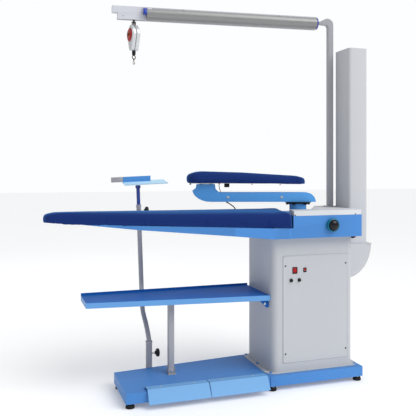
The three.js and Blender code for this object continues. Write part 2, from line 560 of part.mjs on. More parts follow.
function buildArm() {
  const group = armGroup();
  const { low, high, neck, halfWidth, pin } = ARM;
  const seat = BODY.top + GAP;
  const pedestal = turned([[pin + 0.6, seat], [45, seat], [45, 921], [52, 926], [70, 937], [70, low - GAP],
    [pin + 0.6, low - GAP], [pin + 0.6, seat]], 28);
  part('arm_pedestal', pedestal, FRAME_BLUE, group);
  part('arm_pin', bar(vec3(0, 0, seat + 4), vec3(0, 0, high - 10), pin, 16), STEEL, group);

  const profile = (wall) => [vec2(-91 + 2 * wall, low + wall), vec2(470, low + wall),
    ...arc(470, 1013 - wall, 98 - wall, 1013 - low - 2 * wall, -90, -8, 6),
    vec2(549 - wall, 1016 - wall), vec2(545 - wall, neck - wall), vec2(446 + wall, neck - wall),
    vec2(442 + wall, 1010 - wall), vec2(424 + wall, high - wall),
    ...arc(-38, low + wall, 53 - 2 * wall, high - low - 2 * wall, 90, 175, 6)];
  let arm = solid(prismY(profile(0), -halfWidth, halfWidth))
    .subtract(solid(prismY(profile(3), -halfWidth + 3, halfWidth - 3)));
  arm = arm.subtract(solid(bar(vec3(0, 0, low - 5), vec3(0, 0, low + 10), pin + 1, 20)));
  arm = arm.subtract(solid(bar(vec3(ARM.sleeveAt, 0, neck - 10), vec3(ARM.sleeveAt, 0, neck + 5), 11, 20)));
  part('sleeve_arm', geometryOf(arm), FRAME_BLUE, group);

  const spindle = turned([[0, 1000], [10, 1000], [10, neck + GAP], [38, neck + GAP], [38, 1041],
    [0, 1041]], 24);
  part('sleeve_spindle', spindle.translate(ARM.sleeveAt, 0, 0), STEEL, group);
  part('sleeve_frame', prism(sleeveOutline(14), 1041.3, SLEEVE.low - GAP), STEEL, group);
  const topLine = [vec2(-80, 1062), vec2(-30, 1074), vec2(10, SLEEVE.tipTop), vec2(310, 1098),
    vec2(520, SLEEVE.buttTop), vec2(575, 1100), vec2(640, 1078)];
  const pad = solid(prism(sleeveOutline(0), SLEEVE.low, 1120))
    .intersect(solid(prismY([vec2(-80, 1000), vec2(640, 1000), ...topLine.slice().reverse()], -150, 150)));
  part('sleeve_pad', geometryOf(pad), CLOTH_BLUE, group);
}

/** The heating element's lead, from under the arm over the board's rear edge into the table body. */
function buildLead() {
  const route = [vec3(602, 284, 939), vec3(618, 303, 935), vec3(650, 338, 921), vec3(680, 371, 905),
    vec3(696, 388, 885), vec3(702, 392, 860), vec3(705, 392, 832), vec3(705, 383, 808), vec3(705, 371, 797)];
  part('heater_lead', swept(route, 3.2, 8, 26), RUBBER);
}

// ---------------------------------------------------------------- iron rest: socket, bent tube, rod and tray
function buildIronRest() {
  const { x, y, socketTop, bend, topX, bendX, backY, top } = STAND;
  const socketTube = solid(bar(vec3(x, y, 28), vec3(x, y, socketTop), STAND_R.socket, 24))
    .add(solid(block([x - 13, x + 13], [341.6, y], [34, 72])))
    .subtract(solid(bar(vec3(x, y, 32), vec3(x, y, socketTop + 5), STAND_R.tube + 0.7, 20)));
  part('stand_socket', geometryOf(socketTube), POST_GREY);

  const lean = vec3(topX - bendX, 0, top - bend).normalize();
  const topPoint = vec3(topX, backY, top);
  const route = [vec3(x, y, 36), vec3(x, y, 120), vec3(x, y, socketTop - 12), vec3(x, y, socketTop + 4),
    vec3(x - 6, y + 40, 288), vec3(bendX + 2, backY - 8, 350), vec3(bendX, backY, bend + 10),
    topPoint.clone().addScaledVector(lean, -400), topPoint];
  const tube = solid(swept(route, STAND_R.tube, 14, 30));
  const bore = bar(topPoint.clone().addScaledVector(lean, -330), topPoint.clone().addScaledVector(lean, 6),
    STAND_R.rod + 0.5, 16);
  part('stand_tube', geometryOf(tube.subtract(solid(bore))), POST_GREY);

  const knob = turned([[0, -15], [4, -15], [4, 0], [14, 2], [22, 7], [22, 17], [18, 22], [0, 24]], 20);
  const knobs = {
    lower_knob: vec3(x + STAND_R.socket + GAP, y, 146),
    upper_knob: vec3(topX + STAND_R.tube + 2.5, backY, top - 32),
  };
  for (const [name, place] of Object.entries(knobs)) {
    const mesh = part(name, knob.clone().translate(0, 0, 15.2), BLACK);
    mesh.position.copy(place);
    mesh.rotation.y = Math.PI / 2;
  }

  const rodTop = topPoint.clone().addScaledVector(lean, 106);
  part('rest_rod', bar(topPoint.clone().addScaledVector(lean, -230), rodTop, STAND_R.rod, 16), ROD_BLUE);
  const tray = new THREE.Group();
  tray.position.set(TRAY.x, TRAY.y, TRAY.z);
  tray.rotation.set(THREE.MathUtils.degToRad(TRAY.pitch), THREE.MathUtils.degToRad(-TRAY.roll), 0);
  machine.add(tray);
  const w = TRAY.width / 2;
  const d = TRAY.depth / 2;
  const boss = bar(vec3(rodTop.x - TRAY.x, 0, -9.5), vec3(rodTop.x - TRAY.x, 0, -1), 14, 16);
  const plate = solid(prism(rectangle(-w, w, -d, d, 5, 2), -1.5, 1.5))
    .add(solid(block([-w, w], [-d, -d + 2], [-1, 5])))
    .add(solid(block([-w + 2, 38], [d - 26, d - 23.5], [0, 31])))
    .add(solid(boss));
  part('iron_tray', geometryOf(plate), TRAY_BLUE, tray);
  part('tray_bar', prism(rectangle(-w - 60, -w + 1.7, d - 40, d - 22, 2, 2), 5.5, 31), POST_GREY, tray);
}

// ---------------------------------------------------------------- gantry, rail and lamp
/** A group whose +X runs along the rail, from the gantry post to the rail's free end. */
function gantryGroup() {
  const group = new THREE.Group();
  group.position.set(GANTRY.x, GANTRY.y, 0);
  group.rotation.z = THREE.MathUtils.degToRad(GANTRY.turn);
  machine.add(group);
  return group;
}

function buildGantry() {
  const group = gantryGroup();
  const half = GANTRY.size / 2;
  const base = COVER_TOP + GAP;
  const { shoulder, stubLow, stubHigh, crown } = GANTRY;
  const bend = 35.5;
  const stubEnd = RAIL.start - GAP;
  const profile = (wall) => [vec2(-half + wall, base - 2 * wall), vec2(half - wall, base - 2 * wall),
    vec2(half - wall, shoulder + wall), vec2(half + 7, stubLow - 2.5 + wall), vec2(62, stubLow + wall),
    vec2(stubEnd, stubLow + wall), vec2(stubEnd, stubHigh - wall), vec2(66, stubHigh + 1.5 - wall),
    vec2(34, crown - 3.5 - wall), ...arc(20, crown - bend, 35 - wall, bend - wall, 90, 180, 5)];
  const post = solid(prismY(profile(0), -half, half)).subtract(solid(prismY(profile(2), -half + 2, half - 2)));
  part('gantry_post', geometryOf(post), POST_GREY, group);

  const { start, lowerEnd, upperEnd, low, middle, high, half: h } = RAIL;
  const upper = solid(block([start, upperEnd], [-h, h], [middle - 1, high]));
  const lower = solid(block([start, lowerEnd], [-h, h], [low, middle]));
  const upperHollow = solid(block([start - 5, upperEnd + 5], [-h + 2, h - 2], [middle + 1, high - 2]));
  const track = solid(block([start + 14, lowerEnd + 5], [-h + 2, h - 2], [low + 2.5, middle - 2]));
  const slot = solid(block([start + 14, lowerEnd + 5], [-6, 6], [low - 5, low + 5]));
  const rail = upper.add(lower).subtract(upperHollow).subtract(track).subtract(slot);
  part('light_rail', geometryOf(rail), POST_GREY, group);

  const { start: lampStart, end: lampEnd, radius, z } = LAMP;
  const shade = (wall) => arc(h + GAP + wall * 0.5, z, radius - wall, radius - wall, 90, -90, 14);
  const cover = solid(prismX(shade(0), lampStart, lampEnd))
    .subtract(solid(prismX(shade(2), lampStart - 1, lampEnd + 1)));
  part('lamp_cover', geometryOf(cover), SILVER, group);
}

// ---------------------------------------------------------------- iron balancer on its trolley
function buildBalancer() {
  const group = gantryGroup();
  const { at, turn, pivotZ, drumZ, drumR, low, half, discR } = BALANCER;
  const carriage = solid(block([at - 20, at + 20], [-13.5, 13.5], [RAIL.low + 4, RAIL.low + 28]))
    .add(solid(block([at - 5, at + 5], [-4.5, 4.5], [pivotZ - 6, RAIL.low + 10])))
    .subtract(solid(bar(vec3(at - 8, 0, pivotZ), vec3(at + 8, 0, pivotZ), 3.4, 14)));
  part('trolley', geometryOf(carriage), BLACK, group);

  const shackle = solid(bar(vec3(at - 11, 0, pivotZ), vec3(at + 11, 0, pivotZ), 2.9, 14))
    .add(solid(block([at - 11, at - 7.5], [-6, 6], [pivotZ - 13, pivotZ + 5])))
    .add(solid(block([at + 7.5, at + 11], [-6, 6], [pivotZ - 13, pivotZ + 5])))
    .add(solid(block([at - 11, at + 11], [-6, 6], [pivotZ - 13, pivotZ - 9.5])));
  part('shackle', geometryOf(shackle), STEEL, group);

  const hanging = new THREE.Group();
  hanging.position.x = at;
  hanging.rotation.z = THREE.MathUtils.degToRad(turn);
  group.add(hanging);

  const neck = pivotZ - 13 - GAP;
  const outline = [vec2(-9, neck), ...arc(0, drumZ, drumR, drumR, 122, 198, 7), vec2(-19, low + 12),
    vec2(-14, low), vec2(14, low), vec2(19, low + 12), ...arc(0, drumZ, drumR, drumR, -18, 58, 7), vec2(9, neck)];
  const cableBore = bar(vec3(0, 0, low - 5), vec3(0, 0, low + 56), 3, 12);
  const body = solid(prismX(outline, -half, half)).subtract(solid(cableBore));
  part('balancer_body', geometryOf(body), SILVER, hanging);
  const disc = turned([[0, 0], [discR, 0], [discR, 3], [discR - 4, 6], [12, 7], [9, 12], [0, 12]], 28);
  part('tension_disc', disc.rotateY(Math.PI / 2).translate(half + GAP, 0, drumZ), RED, hanging);

  part('balancer_cable', bar(vec3(0, 0, low + GAP), vec3(0, 0, low + 54), 1.2, 8), STEEL, hanging);
  const stop = turned([[0, low - 23], [9, low - 23], [10, low - 8], [9, low - GAP], [0, low - GAP]], 16);
  part('cable_stop', stop, RUBBER, hanging);
  const ring = new THREE.TorusGeometry(9, 2.4, 6, 16).rotateX(Math.PI / 2).translate(0, 0, low - 23.3 - 11.4);
  const stem = bar(vec3(0, 0, low - 44), vec3(0, 0, low - 68), 2.2, 10);
  const ball = new THREE.SphereGeometry(5, 10, 6).translate(0, 0, low - 69);
  part('hook', geometryOf(solid(ring).add(solid(stem)).add(solid(ball))), STEEL, hanging);
}

// ---------------------------------------------------------------- assembly
buildBase();
buildPedals();
buildCabinet();
buildFan();
buildExhaust();
buildTable();
buildShelf();
buildArm();
buildLead();
buildIronRest();
buildGantry();
buildBalancer();

const CENTRE = { x: 519.5, y: 228.2 };
machine.position.set(-CENTRE.x, -CENTRE.y, 0);
machine.updateMatrixWorld(true);

export default machine;
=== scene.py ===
"""Industrial vacuum ironing table with a swing-arm sleeve board, dressed round its fixed frame.

Metres, +Z up. +X runs from the nose of the padded board to the cabinet, +Y away from the operator.
"""

import json
import logging
import math
from collections.abc import Callable, Iterable, Sequence
from dataclasses import dataclass
from enum import Enum
from functools import cache

import bmesh
import bpy
import numpy as np
from mathutils import Matrix, Quaternion, Vector, geometry, noise


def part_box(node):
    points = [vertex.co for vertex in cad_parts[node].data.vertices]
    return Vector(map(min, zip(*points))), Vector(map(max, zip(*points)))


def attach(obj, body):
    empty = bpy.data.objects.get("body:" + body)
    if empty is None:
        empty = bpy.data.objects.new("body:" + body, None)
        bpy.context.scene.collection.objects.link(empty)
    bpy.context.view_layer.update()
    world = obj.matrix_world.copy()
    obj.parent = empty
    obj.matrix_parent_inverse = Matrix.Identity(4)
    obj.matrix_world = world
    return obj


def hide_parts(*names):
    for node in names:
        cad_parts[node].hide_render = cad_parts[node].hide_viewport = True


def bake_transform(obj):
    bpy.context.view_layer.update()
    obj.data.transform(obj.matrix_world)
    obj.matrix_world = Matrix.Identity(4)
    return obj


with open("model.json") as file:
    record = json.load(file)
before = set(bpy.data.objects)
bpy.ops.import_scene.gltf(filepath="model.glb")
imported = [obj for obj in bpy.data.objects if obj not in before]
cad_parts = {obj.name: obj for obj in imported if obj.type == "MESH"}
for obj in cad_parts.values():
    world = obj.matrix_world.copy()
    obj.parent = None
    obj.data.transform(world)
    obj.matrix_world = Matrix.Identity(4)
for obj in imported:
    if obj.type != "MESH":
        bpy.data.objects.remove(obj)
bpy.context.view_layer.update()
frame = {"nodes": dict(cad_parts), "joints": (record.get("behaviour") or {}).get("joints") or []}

LOG = logging.getLogger("ironing_table")
MM = 0.001
Colour = tuple[float, float, float]
Pair = tuple[float, float]
Triple = tuple[float, float, float]
# Stands a slab on edge: its outline then lies in local Y and Z, and its thickness along local X.
ON_EDGE = Matrix(((0, 0, 1, 0), (1, 0, 0, 0), (0, 1, 0, 0), (0, 0, 0, 1)))
UNMOVED = Matrix.Identity(4)
UPWARDS = (0, 0, 1)
FORWARDS = (0, -1, 0)


# ---------------------------------------------------------------- shader tools
class Wire:
    """A shader socket whose values can be added, multiplied and compared in Python expressions."""

    def __init__(self, graph: "Graph", socket: bpy.types.NodeSocket) -> None:
        """Wraps one output socket of a graph."""
        self.graph = graph
        self.socket = socket

    def _math(self, operation: str, *values: object) -> "Wire":
        """Adds a Math node.

        Args:
            operation: The Math node's operation.
            values: Its inputs in order, as wires or numbers.

        Returns:
            The node's result.
        """
        node = self.graph.node("ShaderNodeMath", {"operation": operation}, dict(enumerate(values)))
        return Wire(self.graph, node.outputs[0])

    def __add__(self, other: object) -> "Wire":
        """Sum."""
        return self._math("ADD", self, other)

    def __sub__(self, other: object) -> "Wire":
        """Difference."""
        return self._math("SUBTRACT", self, other)

    def __rsub__(self, other: object) -> "Wire":
        """Reflected difference, so that 1 - mask works."""
        return self._math("SUBTRACT", other, self)

    def __mul__(self, other: object) -> "Wire":
        """Product."""
        return self._math("MULTIPLY", self, other)

    __radd__ = __add__
    __rmul__ = __mul__

    def __pow__(self, other: object) -> "Wire":
        """Power."""
        return self._math("POWER", self, other)

    def __abs__(self) -> "Wire":
        """Absolute value."""
        return self._math("ABSOLUTE", self)

    def sine(self) -> "Wire":
        """Sine of a value in radians."""
        return self._math("SINE", self)

    def above(self, limit: float) -> "Wire":
        """1 where the value is above a limit and 0 elsewhere."""
        return self._math("GREATER_THAN", self, limit)

    def within(self, low: float, high: float) -> "Wire":
        """Spreads the values between low and high smoothly over 0 to 1.

        Args:
            low: The value that becomes 0.
            high: The value that becomes 1.

        Returns:
            The spread value.
        """
        settings = {"interpolation_type": "SMOOTHSTEP"}
        node = self.graph.node("ShaderNodeMapRange", settings, {"Value": self, "From Min": low, "From Max": high})
        return Wire(self.graph, node.outputs["Result"])


class Graph:
    """One material's node tree, with its Principled shader at hand."""

    def __init__(self, name: str) -> None:
        """Makes an empty material with a Principled shader joined to its output."""
        self.material = bpy.data.materials.new(name)
        self.material.use_nodes = True
        self.tree = self.material.node_tree
        self.tree.nodes.clear()
        self.shader = self.node("ShaderNodeBsdfPrincipled")
        self.node("ShaderNodeOutputMaterial", values={"Surface": self.shader.outputs[0]})

    def node(self, kind: str, settings: dict | None = None, values: dict | None = None) -> bpy.types.Node:
        """Adds any node.

        Args:
            kind: The node's type.
            settings: Its own properties.
            values: Values or links of its input sockets, by name or by number.

        Returns:
            The new node.
        """
        node = self.tree.nodes.new(kind)
        for key, value in (settings or {}).items():
            setattr(node, key, value)
        for key, value in (values or {}).items():
            self.feed(node.inputs[key], value)
        return node

    def feed(self, socket: bpy.types.NodeSocket, value: object) -> None:
        """Links or sets one input socket."""
        source = value.socket if isinstance(value, Wire) else value
        if isinstance(source, bpy.types.NodeSocket):
            self.tree.links.new(source, socket)
        elif isinstance(source, tuple) and len(source) == 3 and socket.type == "RGBA":
            socket.default_value = (*source, 1.0)
        else:
            socket.default_value = source

    def set(self, **values: object) -> None:
        """Sets or feeds the Principled shader's sockets; an underscore stands for a space."""
        for key, value in values.items():
            self.feed(self.shader.inputs[key.replace("_", " ")], value)

    def place(self, stretch: Triple = (1.0, 1.0, 1.0)) -> bpy.types.NodeSocket:
        """Position on the piece in metres, stretched along each axis.

        Args:
            stretch: The factor along X, Y and Z.

        Returns:
            A vector socket.
        """
        where = self.node("ShaderNodeTexCoord").outputs["Object"]
        return self.node("ShaderNodeMapping", {}, {"Vector": where, "Scale": stretch}).outputs[0]

    def noise(self, scale: float, detail: float = 2.0, stretch: Triple = (1.0, 1.0, 1.0)) -> Wire:
        """A soft random pattern.

        Args:
            scale: Patches for each metre.
            detail: Layers of finer pattern.
            stretch: The factor along X, Y and Z.

        Returns:
            A value from 0 to 1.
        """
        values = {"Vector": self.place(stretch), "Scale": scale, "Detail": detail}
        return Wire(self, self.node("ShaderNodeTexNoise", {}, values).outputs[0])

    def mix(self, factor: object, first: object, second: object) -> bpy.types.NodeSocket:
        """Mixes two colours.

        Args:
            factor: 0 for the first colour and 1 for the second.
            first: A colour or a colour socket.
            second: A colour or a colour socket.

        Returns:
            A colour socket.
        """
        node = self.node("ShaderNodeMix", {"data_type": "RGBA"}, {0: factor, 6: first, 7: second})
        return node.outputs[2]

    def bump(self, height: Wire, depth: float, strength: float = 1.0) -> bpy.types.NodeSocket:
        """A surface normal from a height.

        Args:
            height: The height, from 0 to 1.
            depth: What a height of 1 stands for, in metres.
            strength: How strongly it shows.

        Returns:
            A normal socket.
        """
        values = {"Height": height, "Distance": depth, "Strength": strength}
        return self.node("ShaderNodeBump", {}, values).outputs[0]


def scaled(colour: Colour, factor: float) -> Colour:
    """A colour made lighter or darker."""
    return tuple(min(1.0, channel * factor) for channel in colour)


@dataclass(frozen=True)
class Finish:
    """What every finish has: a name, the record's slot that it stands for, and a colour."""

    name: str
    slot: str
    colour: Colour

    @cache
    def material(self) -> bpy.types.Material:
        """The finish as a Blender material, made once."""
        graph = Graph(self.name)
        self.paint(graph)
        return graph.material

    def paint(self, graph: Graph) -> None:
        """Fills in the node tree."""
        raise NotImplementedError


@dataclass(frozen=True)
class PowderCoat(Finish):
    """Baked powder paint on sheet steel: a fine orange peel, faint drift of shade and a painted highlight along its
    convex edges.
    """

    roughness: float = 0.46
    drift: float = 0.07
    peel: float = 0.00012
    coat: float = 0.06
    shine: float = 0.3

    def paint(self, graph: Graph) -> None:
        """Fills in the node tree."""
        cloud = graph.noise(2.4, 3.0)
        fleck = graph.noise(1400.0, 1.0)
        shade = cloud * 0.8 + fleck * 0.2
        flat = graph.mix(shade, scaled(self.colour, 1.0 - self.drift), scaled(self.colour, 1.0 + self.drift))
        # Painted highlight: convex edges, found by pointiness, are lightened towards 1.55 times the paint colour.
        edge = Wire(graph, graph.node("ShaderNodeNewGeometry").outputs["Pointiness"]).within(0.53, 0.62)
        graph.set(
            Base_Color=graph.mix(edge * 0.35, flat, scaled(self.colour, 1.55)),
            Roughness=graph.noise(9.0, 3.0) * 0.12 + graph.noise(300.0) * 0.05 + (self.roughness - 0.08),
            Normal=graph.bump(graph.noise(620.0, 2.0), self.peel, 0.8),
            Specular_IOR_Level=self.shine,
            Coat_Weight=self.coat,
            Coat_Roughness=0.22,
        )


@dataclass(frozen=True)
class Weave(Finish):
    """Plain-woven cover cloth: warp and weft threads over a soft drift of shade."""

    pitch: float = 1.3 * MM
    lean: float = 0.0

    def paint(self, graph: Graph) -> None:
        """Fills in the node tree."""
        turn = {"Rotation": (0.0, 0.0, -self.lean)}
        where = graph.node("ShaderNodeMapping", {}, {"Vector": graph.place(), **turn}).outputs[0]
        axes = graph.node("ShaderNodeSeparateXYZ", {}, {0: where})
        across = Wire(graph, axes.outputs[1]) + Wire(graph, axes.outputs[2])
        warp = (Wire(graph, axes.outputs[0]) * (math.pi / self.pitch)).sine()
        weft = (across * (math.pi / self.pitch)).sine()
        over = (warp * weft).above(0.0)
        thread = abs(warp) * over + abs(weft) * (1 - over)
        cloud = graph.noise(5.0, 4.0)
        slub = graph.noise(60.0, 2.0, (1.0, 12.0, 12.0))
        pile = graph.noise(900.0, 2.0)
        tone = cloud * 0.45 + slub * 0.25 + pile * 0.3
        dyed = graph.mix(tone, scaled(self.colour, 0.72), scaled(self.colour, 1.32))
        graph.set(
            Base_Color=graph.mix(thread * 0.3, scaled(self.colour, 0.6), dyed),
            Roughness=graph.noise(30.0) * 0.1 + 0.72,
            Normal=graph.bump(thread * 0.7 + pile * 0.3, 0.00022, 0.7),
            Sheen_Weight=1.0,
            Sheen_Roughness=0.4,
            Sheen_Tint=(0.13, 0.42, 1.0),
            Specular_IOR_Level=0.12,
        )


@dataclass(frozen=True)
class Moulding(Finish):
    """Moulded plastic or rubber with a fine spark-eroded grain and handling marks."""

    roughness: float = 0.4
    grain: float = 0.0001
    drift: float = 0.12
    coat: float = 0.0
    shine: float = 0.22

    def paint(self, graph: Graph) -> None:
        """Fills in the node tree."""
        shade = graph.noise(40.0, 3.0)
        rubbed = graph.noise(14.0, 4.0).within(0.45, 0.75)
        graph.set(
            Base_Color=graph.mix(shade, scaled(self.colour, 1 - self.drift), scaled(self.colour, 1 + self.drift)),
            Roughness=self.roughness + rubbed * 0.12,
            Normal=graph.bump(graph.noise(1500.0, 2.0), self.grain, 0.7),
            Specular_IOR_Level=self.shine,
            Coat_Weight=self.coat,
            Coat_Roughness=0.08,
        )


@dataclass(frozen=True)
class BareMetal(Finish):
    """Plated, cast or drawn metal with a lengthwise grain."""

    roughness: float = 0.32
    metallic: float = 1.0
    grain: Triple = (1.0, 1.0, 1.0)

    def paint(self, graph: Graph) -> None:
        """Fills in the node tree."""
        streak = graph.noise(260.0, 3.0, self.grain)
        tarnish = graph.noise(22.0, 4.0)
        tone = streak * 0.5 + tarnish * 0.5
        graph.set(
            Base_Color=graph.mix(tone, scaled(self.colour, 0.82), scaled(self.colour, 1.12)),
            Roughness=streak * 0.14 + tarnish * 0.1 + (self.roughness - 0.12),
            Metallic=self.metallic,
            Normal=graph.bump(streak, 0.00008, 0.5),
        )


FRAME_BLUE = PowderCoat("frame_blue_paint", "frame_blue", (0.060, 0.225, 0.565))
# Lighter copy of the frame's blue paint for the arm and its pedestal: painted light.
ARM_LIT_BLUE = PowderCoat("arm_blue_painted_light", "frame_blue", (0.088, 0.36, 0.82))
PEDAL_BLUE = PowderCoat("pedal_blue_paint", "pedal_blue", (0.135, 0.34, 0.63))
SHELF_BLUE = PowderCoat("shelf_blue_paint", "shelf_blue", (0.008, 0.115, 0.43), shine=0.12, coat=0.0)
# Lighter copy of the shelf paint for the shelf's front and left faces: painted light.
SHELF_LIP_LIT_BLUE = PowderCoat("shelf_lip_painted_light", "shelf_blue", (0.115, 0.31, 0.64))
CABINET_GREY = PowderCoat("cabinet_grey_paint", "cabinet_grey", (0.50, 0.515, 0.545), roughness=0.5, drift=0.03)
STACK_GREY = PowderCoat("stack_grey_paint", "stack_grey", (0.53, 0.54, 0.57), roughness=0.5, drift=0.03)
POST_GREY = PowderCoat("post_silver_paint", "post_grey", (0.36, 0.36, 0.39), roughness=0.4, drift=0.05)
RAIL_GREY = PowderCoat("rail_silver_paint", "post_grey", (0.56, 0.57, 0.62), roughness=0.4, drift=0.04)
COVER_WHITE = PowderCoat("cover_white_paint", "cover_white", (0.62, 0.64, 0.67), roughness=0.5, drift=0.03)
ROD_BLUE = PowderCoat("rod_gloss_blue", "rod_blue", (0.006, 0.045, 0.30), roughness=0.25, coat=0.6)
TRAY_BLUE = PowderCoat("tray_blue_paint", "tray_blue", (0.48, 0.74, 0.92))
# Darker copy of the tray paint for the upright faces of the tray's upstand: painted shade.
UPSTAND_SHADED_BLUE = PowderCoat("upstand_painted_shade", "tray_blue", (0.075, 0.27, 0.62))
PAD_CLOTH = Weave("board_cover_cloth", "cover_cloth", (0.009, 0.036, 0.21))
SLEEVE_CLOTH = Weave("sleeve_cover_cloth", "cover_cloth", (0.010, 0.038, 0.215), lean=math.radians(161.36))
LAMP_SILVER = BareMetal("lamp_satin_aluminium", "lamp_silver", (0.27, 0.27, 0.27), 0.36, 0.3, (1.0, 40.0, 40.0))
CASTING = BareMetal("balancer_silver_casting", "balancer_silver", (0.66, 0.68, 0.70), 0.42, 0.35)
BRONZE = BareMetal("hook_dark_bronze", "hook_bronze", (0.085, 0.055, 0.036), 0.36, 0.8)
BRASS = BareMetal("brass_washer", "hook_bronze", (0.50, 0.29, 0.08), 0.34, 1.0)
STEEL = BareMetal("zinc_plated_steel", "steel", (0.60, 0.61, 0.62), 0.34, 1.0)
DARK_STEEL = BareMetal("blackened_steel", "steel", (0.035, 0.034, 0.036), 0.45, 0.8)
BLACK = Moulding("black_moulding", "black_plastic", (0.012, 0.012, 0.014), 0.34)
GLOSS_BLACK = Moulding("gloss_black_knob", "black_plastic", (0.006, 0.007, 0.010), 0.14, 0.00003, shine=0.3)
RED = Moulding("red_moulding", "red_plastic", (0.36, 0.008, 0.010), 0.3, 0.00003, coat=0.15)
ROCKER_RED = Moulding("rocker_clear_red", "red_plastic", (0.36, 0.006, 0.008), 0.28, 0.00002, coat=0.2)
RUBBER = Moulding("black_rubber", "rubber", (0.014, 0.014, 0.015), 0.72, 0.0002)
LEAD = Moulding("black_lead_sheath", "lead_black", (0.014, 0.013, 0.013), 0.5, 0.00015)
TEAL = Moulding("teal_ring_moulding", "teal_ring", (0.006, 0.165, 0.25), 0.28, coat=0.4)
CAP_BLUE = Moulding("lamp_cap_blue_moulding", "lamp_cap_blue", (0.012, 0.045, 0.36), 0.3, coat=0.4)


# ---------------------------------------------------------------- mesh tools
def place_in_scene(piece: bpy.types.Object) -> None:
    """Links a new object to the scene."""
    bpy.context.scene.collection.objects.link(piece)


def smooth_by_angle(mesh: bpy.types.Mesh, degrees: float = 32.0) -> None:
    """Shades a mesh smooth, apart from edges sharper than an angle.

    Args:
        mesh: The mesh to shade.
        degrees: The angle between two faces from which their edge stays sharp.
    """
    shaped = bmesh.new()
    shaped.from_mesh(mesh)
    limit = math.radians(degrees)
    for edge in shaped.edges:
        edge.smooth = len(edge.link_faces) == 2 and edge.calc_face_angle(math.pi) < limit
    for face in shaped.faces:
        face.smooth = True
    shaped.to_mesh(mesh)
    shaped.free()


def piece_of(name: str, shaped: bmesh.types.BMesh, matrix: Matrix | None = None) -> bpy.types.Object:
    """Makes an object of a finished bmesh.

    Args:
        name: The piece's name.
        shaped: The mesh, which is freed.
        matrix: Where the mesh goes in the row frame.

    Returns:
        The new object.
    """
    if matrix is not None:
        shaped.transform(matrix)
    bmesh.ops.recalc_face_normals(shaped, faces=shaped.faces)
    mesh = bpy.data.meshes.new(name)
    shaped.to_mesh(mesh)
    shaped.free()
    smooth_by_angle(mesh)
    piece = bpy.data.objects.new(name, mesh)
    place_in_scene(piece)
    return piece


def evaluated_mesh(piece: bpy.types.Object) -> bpy.types.Mesh:
    """A new mesh of a piece with its modifiers applied."""
    bpy.context.view_layer.update()
    return bpy.data.meshes.new_from_object(piece.evaluated_get(bpy.context.evaluated_depsgraph_get()))


def bevelled(shaped: bmesh.types.BMesh, width: float, segments: int = 2, degrees: float = 30.0) -> None:
    """Rounds the sharp edges of a bmesh in place.

    Args:
        shaped: The mesh.
        width: The width of the round in metres.
        segments: Its number of faces.
        degrees: The angle from which an edge counts as sharp.
    """
    limit = math.radians(degrees)
    sharp = [e for e in shaped.edges if len(e.link_faces) == 2 and e.calc_face_angle(0.0) > limit]
    if sharp and width > 0:
        bmesh.ops.bevel(shaped, geom=sharp, offset=width, segments=segments, profile=0.5, affect="EDGES",
                        clamp_overlap=True)


def slab(name: str, outline: Sequence[Pair], low: float, high: float, matrix: Matrix,
         bevel: float = 0.0, segments: int = 2) -> bpy.types.Object:
    """A plate or block cut to an outline, with rounded edges.

    Args:
        name: The piece's name.
        outline: Its outline in local X and Y.
        low: Its lower face in local Z.
        high: Its upper face in local Z.
        matrix: Where it goes in the row frame.
        bevel: The width of its rounded edges.
        segments: The faces of each rounded edge.

    Returns:
        The new piece.
    """
    shaped = bmesh.new()
    base = shaped.faces.new([shaped.verts.new((x, y, low)) for x, y in outline])
    risen = bmesh.ops.extrude_face_region(shaped, geom=[base])
    top = [v for v in risen["geom"] if isinstance(v, bmesh.types.BMVert)]
    bmesh.ops.translate(shaped, verts=top, vec=(0.0, 0.0, high - low))
    bevelled(shaped, bevel, segments)
    return piece_of(name, shaped, matrix)


def brick(name: str, low: Triple, high: Triple, matrix: Matrix, bevel: float, segments: int = 2) -> bpy.types.Object:
    """A block between two corners, with rounded edges.

    Args:
        name: The piece's name.
        low: Its lowest corner in local axes.
        high: Its highest corner in local axes.
        matrix: Where it goes in the row frame.
        bevel: The width of its rounded edges.
        segments: The faces of each rounded edge.

    Returns:
        The new piece.
    """
    outline = [(low[0], low[1]), (high[0], low[1]), (high[0], high[1]), (low[0], high[1])]
    return slab(name, outline, low[2], high[2], matrix, bevel, segments)


def turned(name: str, profile: Sequence[Pair], matrix: Matrix, sides: int = 32,
           flute: Callable[[float, float], float] | None = None) -> bpy.types.Object:
    """A turned piece about local Z.

    Args:
        name: The piece's name.
        profile: Radius and height pairs from the axis round and back to it.
        matrix: Where it goes in the row frame.
        sides: Its number of faces round the axis.
        flute: A factor on the radius, from the angle and the radius, for flutes and lobes.

    Returns:
        The new piece.
    """
    shaped = bmesh.new()
    rings = []
    for radius, height in profile:
        if radius < 1e-7:
            rings.append([shaped.verts.new((0.0, 0.0, height))])
            continue
        ring = []
        for i in range(sides):
            angle = 2 * math.pi * i / sides
            reach = radius * (flute(angle, radius) if flute else 1.0)
            ring.append(shaped.verts.new((reach * math.cos(angle), reach * math.sin(angle), height)))
        rings.append(ring)
    for lower, upper in zip(rings, rings[1:]):
        for i in range(sides):
            j = (i + 1) % sides
            corners = [lower[i % len(lower)], lower[j % len(lower)], upper[j % len(upper)], upper[i % len(upper)]]
            unique = list(dict.fromkeys(corners))
            if len(unique) > 2:
                shaped.faces.new(unique)
    return piece_of(name, shaped, matrix)


